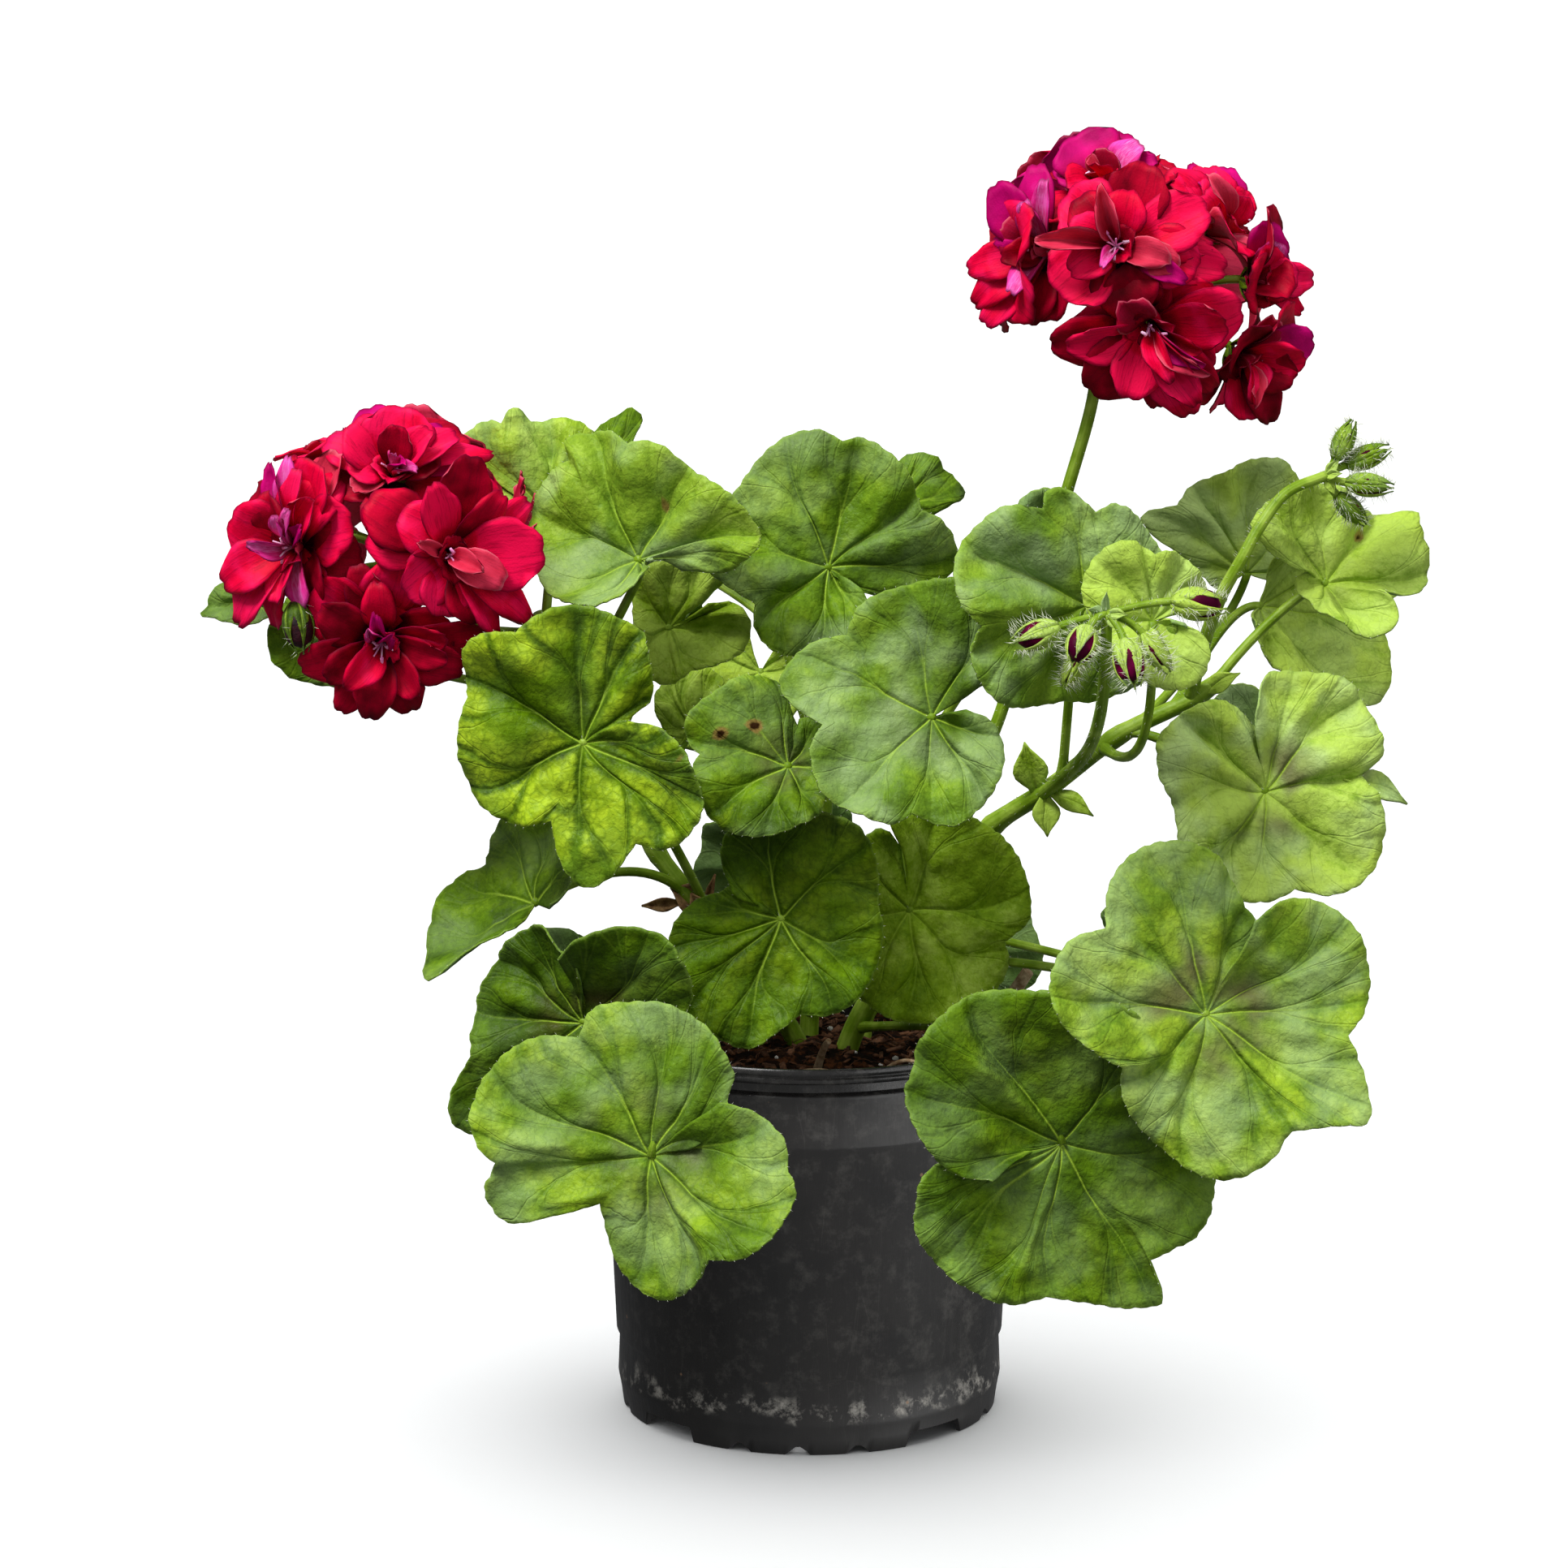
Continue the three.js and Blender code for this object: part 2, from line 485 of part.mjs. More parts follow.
// The soil fills the pot to below its rim, domed a little and lumpy, with a hole for each stem
function soilSolid(stems) {
  const top = RIM_RADIUS - SHOULDER_DEPTH - POT_WALL - CLEARANCE - 0.2;
  const floor = FLOOR_THICKNESS + CLEARANCE;
  const profile = [
    [0, floor], [CENTRE_PAD_RADIUS - 1, floor], [CENTRE_PAD_RADIUS + 1, FLOOR_STEP + floor],
    [BASE_RADIUS - 0.2, FLOOR_STEP + floor], [top, SOIL_LEVEL - 2], [top - 4, SOIL_LEVEL],
    [34, SOIL_LEVEL], [18, SOIL_LEVEL + 1.5], [0, SOIL_LEVEL + SOIL_CROWN],
  ];
  const turned = new THREE.LatheGeometry(profile.map(([r, z]) => new THREE.Vector2(r, z)), POT_SIDES);
  turned.rotateX(Math.PI / 2);
  const places = turned.attributes.position;
  for (let i = 0; i < places.count; i++) {
    const [x, y, z] = [places.getX(i), places.getY(i), places.getZ(i)];
    const lump = 0.9 * Math.sin(x * 0.31 + 1) * Math.cos(y * 0.27) + 0.5 * Math.sin(x * 0.13 - y * 0.19);
    if (z >= SOIL_LEVEL - 1 && Math.hypot(x, y) > 1) places.setZ(i, z + lump);
  }
  return cut(solidOf(turned), stems);
}

// The curve that each stem follows
const stemCurves = Object.fromEntries(
  Object.entries(STEMS).map(([name, { line }]) => [name, lineOf(line)]),
);

// A stem with the small leaflets at its nodes
function stemSolid(name, grow = 0) {
  const radii = STEMS[name].radii.map((radius) => radius + grow);
  const bracts = STEMS[name].bracts ?? [];
  return joined([limb(stemCurves[name], radii, 6, 12), ...bracts.map((bract) => bractSolid(bract, grow))]);
}

// The stems with the gap that everything round them keeps
const thickStems = Object.fromEntries(
  Object.keys(STEMS).map((name) => [name, stemSolid(name, CLEARANCE)]),
);

// The plain round leaf's edge: seven lobes with a notch between each two
function roundEdge({ size, tip }) {
  const step = LOBE_ANGLE / 3;
  const edge = [];
  for (let part = -9; part <= 9; part++) {
    const turn = Math.abs(part * step);
    const shrink = 1 - 0.25 * THREE.MathUtils.smoothstep(turn, 100, 175);
    const notch = part % 3 === 0 && part !== 0;
    edge.push([tip + part * step, size * shrink * (notch ? 0.88 : 1)]);
  }
  return edge;
}

// How far a point of a leaf stands out of its flat plane, as a share of the leaf's size: raised towards
// the edge and at the notches, and bent back at some lobes
function leafRelief(out, turn, notched, { bend = [] }) {
  const bent = bend.map(([way, amount]) => amount * Math.max(0, Math.cos(radians(turn - way))) ** 2);
  const crease = notched ? LEAF_FOLD : -LEAF_FOLD / 2;
  return crease * out + LEAF_CUP * out ** 2 - bent.reduce((sum, b) => sum + b, 0) * out ** 2;
}

// The way that a leaf's upper face looks, for its turn from the front and its rise above level
function facing([turn, rise]) {
  const [a, e] = [radians(turn), radians(rise)];
  return new THREE.Vector3(Math.sin(a) * Math.cos(e), -Math.cos(a) * Math.cos(e), Math.sin(e));
}

// The two directions in a leaf's plane in which its edge is measured
function leafAxes({ face, edge }) {
  const normal = facing(face);
  if (edge) {
    return [new THREE.Vector3(1, -normal.x / normal.y, 0), new THREE.Vector3(0, -normal.z / normal.y, 1)];
  }
  const across = new THREE.Vector3(Math.cos(radians(face[0])), Math.sin(radians(face[0])), 0);
  return [across, normal.clone().cross(across)];
}

// A leaf blade: rings of points from the hub to the edge
function bladeSolid(leaf) {
  const normal = facing(leaf.face);
  const [across, up] = leafAxes(leaf);
  const edge = leaf.edge ?? roundEdge(leaf);
  const notches = leaf.notches ?? [];
  const rings = leaf.rings ?? 1;
  const size = Math.max(...edge.map(([, reach]) => reach));
  const pointAt = (i, j) => {
    const [turn, reach] = edge[i];
    const out = j / rings;
    return vector(leaf.hub)
      .addScaledVector(across, Math.cos(radians(turn)) * reach * out)
      .addScaledVector(up, Math.sin(radians(turn)) * reach * out)
      .addScaledVector(normal, leafRelief(out, turn, notches.includes(turn), leaf) * size);
  };
  return sheet(pointAt, edge.length - 1, rings, BLADE_THICKNESS, normal);
}

// A leaf's stalk, which leaves the back of the hub and curves over to its place on the stem
function leafStalk(leaf) {
  const [stem, share] = leaf.foot;
  const normal = facing(leaf.face);
  const hub = vector(leaf.hub).addScaledVector(normal, -BLADE_THICKNESS / 2);
  const foot = stemCurves[stem].getPointAt(share);
  const way = hub.clone().sub(foot);
  const reach = way.length();
  const arch = (leaf.arch ?? 0) + 0.12 * reach;
  const leave = hub.clone().addScaledVector(normal, -0.3 * reach).addScaledVector(UP, arch * 0.6);
  const arrive = foot.clone().addScaledVector(way, 0.3).addScaledVector(UP, arch);
  if (leaf.via) {
    leave.set(...leaf.via[0]);
    arrive.set(...leaf.via[1]);
  }
  const curve = new THREE.CubicBezierCurve3(hub, leave, arrive, foot);
  return limb(curve, [STALK_RADIUS, STALK_RADIUS * 1.2], 4, leaf.rings || leaf.via ? 6 : 4);
}

function leafSolid(leaf) {
  const stalk = leafStalk(leaf).subtract(thickStems[leaf.foot[0]]);
  const flaps = (leaf.flaps ?? []).map((flap) => bractSolid(flap));
  return joined([bladeSolid(leaf), stalk, ...flaps]);
}

// A small pointed leaflet
function bractSolid({ at, points, face, length, width }, grow = 0) {
  const along = vector(points).normalize();
  const normal = vector(face);
  normal.addScaledVector(along, -normal.dot(along)).normalize();
  const across = along.clone().cross(normal);
  const widths = [0.35, 1, 0.05];
  const pointAt = (i, j) => vector(at)
    .addScaledVector(along, (length * j) / 2)
    .addScaledVector(across, (i - 1) * 0.5 * width * widths[j])
    .addScaledVector(normal, (i === 1 ? -0.08 : 0.08) * width + grow);
  return sheet(pointAt, 2, 2, BLADE_THICKNESS + 2 * grow, normal);
}

// A petal is twisted a little, so that it lies over one neighbour and under the other
function petalSolid(flower, ring, number) {
  const axis = vector(flower.faces).normalize();
  const level = Math.abs(axis.z) > 0.8 ? new THREE.Vector3(0, 1, 0) : UP;
  const turn = radians((360 / ring.count) * number + ring.turn + flower.at[0] * 7);
  const out = level.clone().cross(axis).normalize().applyAxisAngle(axis, turn);
  const across = axis.clone().cross(out);
  const pointAt = (i, j) => {
    const along = j / 2;
    const side = (2 * i) / ring.columns - 1;
    const lean = radians(ring.leans[j]);
    const length = PETAL_START + (ring.length - PETAL_START) * along * (1 - 0.14 * side * side * along);
    const lift = (PETAL_CUP * side * side * ring.width + PETAL_TWIST * side) * Math.min(1, j);
    return vector(flower.at)
      .addScaledVector(out, Math.sin(lean) * length)
      .addScaledVector(axis, Math.cos(lean) * length + lift)
      .addScaledVector(across, side * 0.5 * ring.width * PETAL_WIDTHS[j]);
  };
  const lean = radians(ring.leans[1]);
  const face = axis.clone().multiplyScalar(Math.sin(lean)).addScaledVector(out, -Math.cos(lean));
  return sheet(pointAt, ring.columns, 2, PETAL_THICKNESS, face);
}

// A flower. Those turned away from the front have five plainer petals only
function flowerSolid(flower) {
  const boss = new THREE.OctahedronGeometry(FLOWER_BOSS_RADIUS).translate(...flower.at);
  const rings = flower.faces[1] < -0.3 ? [OUTER_PETALS, INNER_PETALS] : [BACK_PETALS];
  const petals = rings.flatMap(
    (ring) => Array.from({ length: ring.count }, (_, number) => petalSolid(flower, ring, number)),
  );
  return joined([solidOf(boss), ...petals]);
}

// The point where a head's flower stalks part, with a flower stalk to the back of each flower
function umbelSolid({ stalk, flowers }, grow = 0) {
  const top = vector(stalk[stalk.length - 1]);
  const knob = new THREE.OctahedronGeometry(UMBEL_RADIUS + grow).translate(...top.toArray());
  const pedicels = flowers.map(({ at, faces }) => {
    const axis = vector(faces).normalize();
    const end = vector(at).addScaledVector(axis, 1 - FLOWER_BOSS_RADIUS);
    const bend = end.clone().addScaledVector(axis, -9);
    const curve = new THREE.QuadraticBezierCurve3(top, bend, end);
    return limb(curve, [PEDICEL_RADIUS + grow, PEDICEL_RADIUS * 1.3 + grow], 4, 2);
  });
  return joined([solidOf(knob), ...pedicels]);
}

// A head's main stalk, from its stem up to the umbel
const headStalkSolid = (head) => limb(lineOf(head.stalk), HEAD_STALK_RADII, 6, 8)
  .subtract(thickStems[head.stem])
  .subtract(umbelSolid(head, CLEARANCE));

// All flowers of a head on their flower stalks
const headSolid = (head) => joined([umbelSolid(head), ...head.flowers.map(flowerSolid)]);

// A closed bud, round at its base and pointed at its tip
function budSolid({ at, points, scale }) {
  const bud = new THREE.LatheGeometry(BUD_OUTLINE.map(([r, y]) => new THREE.Vector2(r, y)), 5);
  const way = vector(points).normalize();
  bud.applyQuaternion(new THREE.Quaternion().setFromUnitVectors(new THREE.Vector3(0, 1, 0), way));
  return solidOf(bud.scale(scale, scale, scale).translate(...at));
}

// A bud cluster: its stalk, and a short stalk to each bud
function budClusterSolid({ stalk, buds }) {
  const top = vector(stalk[stalk.length - 1]);
  const main = limb(lineOf(stalk), [1.9, 1.4], 5, 9);
  const knob = solidOf(new THREE.OctahedronGeometry(2.4).translate(...top.toArray()));
  const pedicels = buds.map(({ at, points }) => {
    const end = vector(at).addScaledVector(vector(points).normalize(), 1.5);
    const bend = vector(at).addScaledVector(vector(points).normalize(), -4);
    return limb(new THREE.QuadraticBezierCurve3(top, bend, end), [0.9, 1], 4, 2);
  });
  return joined([main, knob, ...pedicels, ...buds.map(budSolid)]);
}

// Plain colours of the plant in its pot
const materials = {
  pot: new THREE.MeshStandardMaterial({ color: 0x2a2a2b, roughness: 0.5, metalness: 0 }),
  soil: new THREE.MeshStandardMaterial({ color: 0x2b1a10, roughness: 0.95, metalness: 0 }),
  stem: new THREE.MeshStandardMaterial({ color: 0x6a8f33, roughness: 0.6, metalness: 0 }),
  leaf: new THREE.MeshStandardMaterial({ color: 0x5d9430, roughness: 0.55, metalness: 0 }),
  petal: new THREE.MeshStandardMaterial({ color: 0xb00a2c, roughness: 0.6, metalness: 0 }),
  bud: new THREE.MeshStandardMaterial({ color: 0x8fae4a, roughness: 0.6, metalness: 0 }),
};

const plant = new THREE.Group();
plant.name = 'potted_ivy_geranium';

plant.add(meshOf('pot', potSolid(), materials.pot));
plant.add(meshOf('soil', soilSolid(Object.values(thickStems)), materials.soil));

for (const name of Object.keys(STEMS)) {
  plant.add(meshOf(`stem_${name}`, stemSolid(name), materials.stem));
}

for (const [name, leaf] of Object.entries(LEAVES)) {
  plant.add(meshOf(name, leafSolid(leaf), materials.leaf));
}

for (const [name, head] of Object.entries(HEADS)) {
  plant.add(meshOf(`flower_stalk_${name}`, headStalkSolid(head), materials.stem));
  plant.add(meshOf(`flower_head_${name}`, headSolid(head), materials.petal));
}

for (const [name, cluster] of Object.entries(BUD_CLUSTERS)) {
  const solid = budClusterSolid(cluster).subtract(thickStems[cluster.stem]);
  plant.add(meshOf(`bud_cluster_${name}`, solid, materials.bud));
}

export default plant;
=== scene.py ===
"""An ivy geranium in flower: two heads of double crimson flowers over lobed, softly downy leaves, in a
black moulded nursery pot filled with dark potting soil. Sizes are in millimetres and are scaled to
metres as each piece is finished. The front looks towards -Y."""

import functools
import math
import random

import bmesh
import bpy
from mathutils import Matrix, Vector, noise


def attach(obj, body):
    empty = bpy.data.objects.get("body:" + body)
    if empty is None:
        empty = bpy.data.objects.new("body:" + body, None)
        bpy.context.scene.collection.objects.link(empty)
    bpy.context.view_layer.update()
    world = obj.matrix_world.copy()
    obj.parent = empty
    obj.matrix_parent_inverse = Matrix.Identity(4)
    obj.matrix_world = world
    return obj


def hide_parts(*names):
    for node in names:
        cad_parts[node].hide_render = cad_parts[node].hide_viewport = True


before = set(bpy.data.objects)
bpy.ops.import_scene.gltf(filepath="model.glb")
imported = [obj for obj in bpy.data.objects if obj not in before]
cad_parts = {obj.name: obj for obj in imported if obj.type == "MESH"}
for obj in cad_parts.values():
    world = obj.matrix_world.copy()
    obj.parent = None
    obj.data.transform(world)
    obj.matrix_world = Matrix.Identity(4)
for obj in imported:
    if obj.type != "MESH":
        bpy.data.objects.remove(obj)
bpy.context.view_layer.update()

MM = 0.001
UP = Vector((0, 0, 1))

# The pot, with its base at height 0
RIM_RADIUS = 60
POT_HEIGHT = 108
LIP_HEIGHT = 4
BASE_RADIUS = 51.7
SKIRT_HEIGHT = 8
SKIRT_WALL = 1.5
FLOOR_STEP = 3.5
FLOOR_THICKNESS = 1.6
CENTRE_PAD_RADIUS = 38.5
POT_WALL = 1.3
LIP_WALL = 1.6
BAND_HEIGHT = 3.4
BAND_DEPTH = 4.4
SHOULDER_DEPTH = 3
NOTCH_TURN = -3.6
LARGE_NOTCH_WIDTH = 18.5
LARGE_NOTCH_HEIGHT = 4.3
SMALL_NOTCH_RADIUS = 2.4
SMALL_NOTCH_ANGLES = (-18, 0, 18)
DRAIN_RADIUS = 3.5
DRAIN_PLACE = 45
SOIL_LEVEL = 98
SOIL_CROWN = 2.5
POT_STEPS = 240

# The plant
BLADE_THICKNESS = 0.55
HUB_GAP = 0.45
LOBE_ANGLE = 52
LEAF_CUP = 0.08
LEAF_FOLD = 0.05
STALK_RADIUS = 1.15
HEAD_STALK_RADII = (1.9, 1.6)
PEDICEL_RADIUS = 0.9
PETAL_THICKNESS = 0.28
SEPAL_THICKNESS = 0.3

# How deep a leaf is folded between its veins and how far these rise and fall, as shares of the width
# there, how far its ends lap over each other, and the turn in degrees past which its slit is closed
FOLD_DEPTH = 0.29
VEIN_RISE = 0.13
LAP = 0.08
CLOSED_SLIT = 349
PLAIN_LOOK = (0.65, 0.15, 0.2, 0.3)

# The studio's round floor
FLOOR_RADIUS = 200000

# The stems' centre lines, from inside the soil to the tip, their radii at both ends, and the small
# pointed leaflets where stalks part
STEMS = {
    "left": dict(
        radii=(3.2, 1.9),
        line=((-2, 5, 70), (-3, 5, 99), (-22, 0, 125), (-33, -6, 144), (-44, 0, 158), (-56, 5, 187),
              (-66, 5, 205), (-74, 1, 220)),
        leaflets=(),
        dry=(
            dict(at=(-29.5, -5, 141), points=(-0.9, -0.2, 0.55), face=(0.1, -1, 0.2), length=10, width=8),
            dict(at=(-30, -7, 139), points=(-0.3, -0.4, 0.85), face=(0.2, -1, 0.2), length=7, width=6),
            dict(at=(-35, -5, 141.5), points=(-1, -0.2, -0.05), face=(0, -1, 0.1), length=11, width=3.5),
            dict(at=(-28, -4, 139), points=(0.2, -0.2, 0.95), face=(-0.3, -1, 0), length=11, width=2),
        ),
    ),
    "right": dict(
        radii=(3.4, 2.2),
        line=((9, -2, 70), (10, -2, 99), (34, -1, 141), (48, -8, 162), (64, -16, 175), (83, -22, 191),
              (102, -24, 201), (109, -24, 206)),
        leaflets=(
            dict(at=(61, -16, 174), points=(-0.25, -0.2, 0.95), face=(-0.2, -1, 0.1), length=15, width=9.5),
            dict(at=(63, -17, 174), points=(0.05, -0.35, -0.95), face=(0, -1, 0.3), length=12, width=7.5),
            dict(at=(64, -17, 174.5), points=(0.9, -0.3, -0.45), face=(0.3, -0.9, 0.5), length=14, width=6),
            dict(at=(104, -25, 202.5), points=(0.8, -0.3, 0.5), face=(-0.3, -0.9, 0.4), length=12, width=5.5),
        ),
    ),
    "middle": dict(
        radii=(3, 1.7),
        line=((0, 18, 70), (0, 18, 100), (2, 22, 130), (4, 25, 165), (-4, 24, 200), (-10, 20, 224)),
        leaflets=(),
    ),
    "back": dict(
        radii=(2.8, 1.7),
        line=((14, 14, 70), (15, 16, 100), (22, 32, 130), (30, 42, 160), (34, 46, 192)),
        leaflets=(),
    ),
}

# Each leaf: the hub where its veins meet, the turn and rise of its upper face, and the place on a stem
# where its stalk grows. Its edge runs round from one side of its slit to the other as directions and
# distances from the hub, seen from the front, with the directions of its notches and main veins. Its
# look is how light it is, how much it yellows between the veins, how brown its zone is, and how much
# grey sheen is painted on it. Brown specks are a direction, a distance and a radius. A leaf that is
# folded by more than 1 has deeper folds than the rest, and one with a size has the plain round outline.
LEAVES = {
    "leaf_01": dict(
        hub=(-71, 22, 243), face=(-10, 20), foot=("left", 0.97), look=(0.74, 0.65, 0, 0.4),
        edge=((-8, 17), (36, 20), (62, 26), (75, 27), (88, 27), (102, 26), (107, 30), (118, 27),
              (125, 30), (140, 30), (161, 24), (202, 14)),
        notches=(102, 118), veins=(60, 92, 125, 150),
    ),
    "leaf_02": dict(
        hub=(-57, 42, 258), face=(20, 58), foot=("middle", 0.97), look=(0.45, 0.2, 0, 0.2),
        edge=((10, 7), (27, 9), (39, 13), (50, 12), (73, 9), (111, 7), (175, 7)),
        notches=(),
    ),
    "leaf_03": dict(
        hub=(-46, -28, 239), face=(-20, 22), foot=("left", 0.84), bend=(262, -0.3), look=(0.78, 0.1, 0, 0.6),
        folded=1.2,
        edge=((-9, 11), (-6, 19), (-1, 26), (8, 32), (15, 33), (31, 31), (52, 27), (70, 28), (81, 27),
              (87, 26), (101, 31), (116, 33), (122, 33), (126, 28), (138, 30), (154, 31), (179, 28),
              (199, 25), (207, 24), (225, 20), (245, 16), (274, 13), (299, 9), (330, 5)),
        notches=(52, 87, 126, 207), veins=(-5, 13, 54, 110, 158, 208, 243, 290), spots=((57, 15, 0.6),),
    ),
    "leaf_04": dict(
        hub=(5, -8, 234), face=(4, 14), foot=("middle", 0.93), look=(0.5, 0.3, 0, 0.35),
        edge=((-38, 11), (-25, 19), (-11, 29), (2, 35), (14, 34), (24, 31), (30, 28), (46, 31), (65, 33),
              (77, 34), (84, 32), (93, 35), (104, 36), (117, 35), (141, 32), (161, 32), (181, 33),
              (193, 27), (207, 22), (217, 25), (230, 27), (246, 26), (265, 22), (292, 18), (316, 14)),
        notches=(30, 84, 207), veins=(5, 38, 78, 108, 168, 222, 262, 300),
    ),
    "leaf_05": dict(
        hub=(25, 30, 246), face=(30, 52), foot=("middle", 0.99), look=(0.48, 0.15, 0, 0.3),
        edge=((-24, 7), (-3, 15), (6, 19), (27, 14), (60, 11), (89, 10), (134, 8)),
        notches=(),
    ),
    "leaf_06": dict(
        hub=(-38, 2, 216), face=(5, 12), foot=("left", 0.74), look=(1.0, 0.3, 0, 0),
        edge=((37, 11), (40, 20), (55, 20), (90, 18), (120, 17), (169, 10), (230, 13), (253, 15),
              (273, 15), (297, 13), (322, 16), (342, 21), (361, 22), (379, 19), (390, 12)),
        notches=(297,), veins=(62, 92, 135, 205, 260, 300, 355, 380),
    ),
    "leaf_07": dict(
        hub=(-14, 41, 198), face=(-12, 20), foot=("middle", 0.6), size=19, tip=265, look=(1.05, 0.5, 0),
    ),
    "leaf_08": dict(
        hub=(-33, 14, 186), face=(-5, 25), foot=("left", 0.62), look=(0.95, 0.5, 0, 0.1),
        edge=((-6, 8), (19, 12), (44, 15), (70, 17), (90, 15), (117, 14), (148, 11), (173, 8), (228, 5)),
        notches=(90,), veins=(20, 62, 90, 125, 170),
    ),
    "leaf_09": dict(
        hub=(-60, -48, 193), face=(-14, 10), foot=("left", 0.36), bend=(262, 0.16), look=(0.36, 1, 0.1, 0.05),
        folded=0.75,
        edge=((28, 14), (34, 21), (45, 26), (61, 33), (70, 34), (83, 35), (95, 35), (107, 33), (117, 31),
              (132, 36), (144, 37), (152, 34), (160, 31), (174, 32), (189, 33), (207, 33), (219, 31),
              (235, 27), (249, 22), (260, 31), (270, 37), (283, 35), (300, 29), (309, 34), (320, 36),
              (334, 36), (347, 32), (360, 28), (373, 22), (386, 14)),
        notches=(117, 160, 249, 300), veins=(62, 89, 152, 203, 268, 308, 338, 368),
        spots=((355, 27, 0.6),),
    ),
    "leaf_10": dict(
        hub=(-6, -46, 187), face=(-2, 28), foot=("middle", 0.5), look=(0.45, 0.3, 0.4, 0.2),
        folded=0.8,
        edge=((80, 11), (92, 18), (102, 21), (116, 23), (133, 24), (153, 27), (163, 28), (171, 26),
              (176, 23), (184, 25), (201, 25), (223, 23), (239, 21), (251, 19), (271, 17), (298, 16),
              (324, 13), (363, 13), (409, 13), (434, 11)),
        notches=(176, 251), veins=(100, 135, 168, 210, 250, 300, 357, 405),
        spots=((137, 12, 1.4), (160, 19, 1.2), (165, 24.5, 0.7)),
    ),
    "leaf_11": dict(
        hub=(31, -60, 202), face=(-4, 18), foot=("right", 0.5), look=(0.56, 0.12, 0.15, 0.6),
        folded=0.75,
        edge=((29, 17), (41, 25), (56, 31), (70, 34), (84, 33), (108, 33), (124, 33), (137, 30),
              (149, 36), (159, 39), (169, 40), (177, 35), (185, 28), (195, 32), (215, 34), (233, 31),
              (251, 29), (259, 25), (273, 27), (285, 28), (315, 24), (334, 21), (355, 16), (371, 9)),
        notches=(137, 185, 259), veins=(58, 102, 156, 224, 270, 302, 345),
    ),
    "leaf_12": dict(
        hub=(71, -62, 231), face=(5, 4), foot=("right", 0.72), look=(0.72, 0, 0, 0.7),
        folded=1.1,
        edge=((8, 21), (29, 23), (48, 24), (68, 27), (78, 27), (86, 24), (99, 30), (110, 32), (116, 28),
              (129, 34), (143, 36), (161, 37), (177, 34), (188, 29), (200, 33), (215, 34), (228, 33),
              (241, 29), (256, 25), (274, 25), (298, 24), (332, 23), (350, 21)),
        notches=(86, 116, 188, 256), veins=(40, 76, 104, 152, 200, 245, 290, 335),
    ),
    "leaf_13": dict(
        hub=(87, -73, 229), face=(8, 14), foot=("right", 0.8), via=((88, -69, 200), (86, -54, 184)),
        look=(1.25, 0.3, 0, 0.35),
        edge=((7, 11), (23, 16), (46, 16), (74, 17), (93, 16), (106, 20), (121, 22), (137, 22), (159, 20),
              (185, 15), (234, 14), (270, 17), (300, 19), (325, 17), (343, 13), (354, 6)),
        notches=(93,), veins=(30, 62, 100, 135, 180, 240, 300, 335),
    ),
    # Painted light: this leaf's lightness and sheen are raised to offset the shade that falls on it
    "leaf_14": dict(
        hub=(120, 16, 229), face=(10, 10), foot=("right", 0.86), via=((117, 26, 214), (98, 6, 197)),
        look=(1.6, 0.2, 0, 0.8),
        edge=((-27, 15), (9, 22), (41, 25), (64, 28), (77, 31), (92, 30), (108, 28), (126, 29), (139, 28),
              (152, 34), (158, 29), (165, 19), (203, 10)),
        notches=(108, 139), veins=(0, 45, 85, 125, 150),
    ),
    "leaf_15": dict(
        hub=(137, -24, 232), face=(20, 22), foot=("right", 0.99), bend=(300, -0.25),
        look=(1.05, 0.35, 0.3, 0.2),
        edge=((168, 8), (213, 8), (259, 11), (288, 17), (312, 19), (326, 17), (337, 11), (345, 21),
              (358, 26), (372, 27), (385, 27), (394, 29), (407, 23), (422, 20), (443, 23), (469, 25),
              (493, 27), (511, 28), (518, 20), (522, 12)),
        notches=(337, 422), veins=(240, 300, 362, 408, 450, 490), spots=((412, 15, 1),),
    ),
    "leaf_16": dict(
        hub=(123, 2, 222), face=(34, 12), foot=("right", 0.92), look=(1.05, 0.35, 0, 0.4),
        edge=((203, 6), (249, 11), (274, 17), (293, 23), (307, 33), (317, 43), (330, 41), (344, 37),
              (352, 34), (358, 40), (363, 45), (375, 39), (396, 25), (425, 16), (461, 12)),
        notches=(352,), veins=(270, 310, 350, 385, 425),
    ),
    "leaf_17": dict(
        hub=(120, -42, 179), face=(12, 14), foot=("right", 0.84), look=(1.05, 0.35, 0.8, 0.85),
        folded=1.15,
        edge=((101, 17), (113, 24), (126, 29), (142, 32), (157, 35), (170, 32), (188, 26), (209, 28),
              (235, 33), (253, 29), (270, 28), (283, 26), (299, 31), (314, 34), (331, 34), (350, 30),
              (367, 25), (375, 31), (396, 33), (412, 35), (430, 32), (450, 30), (459, 22)),
        notches=(188, 283, 367), veins=(142, 186, 233, 270, 318, 368, 402, 436), spots=((200, 30, 0.5),),
        flaps=(
            dict(at=(140.5, -37.4, 182.5), points=(0.9, 0.2, -0.42), face=(0.2, -0.6, 0.7),
                 length=20, width=9),
        ),
    ),
    "leaf_18": dict(
        hub=(103, -68, 125), face=(12, 14), foot=("right", 0.3), look=(0.68, 0.5, 0.8, 0.6),
        folded=0.75,
        edge=((68, 28), (87, 40), (101, 45), (114, 46), (128, 43), (141, 36), (152, 43), (165, 45),
              (178, 42), (194, 33), (207, 27), (225, 31), (251, 35), (270, 41), (280, 42), (292, 40),
              (303, 36), (317, 43), (324, 49), (338, 42), (349, 36), (360, 41), (371, 43), (386, 43),
              (402, 40), (415, 34), (425, 25)),
        notches=(141, 207, 303, 349), veins=(103, 137, 172, 215, 262, 303, 328, 362, 392),
    ),
    "leaf_19": dict(
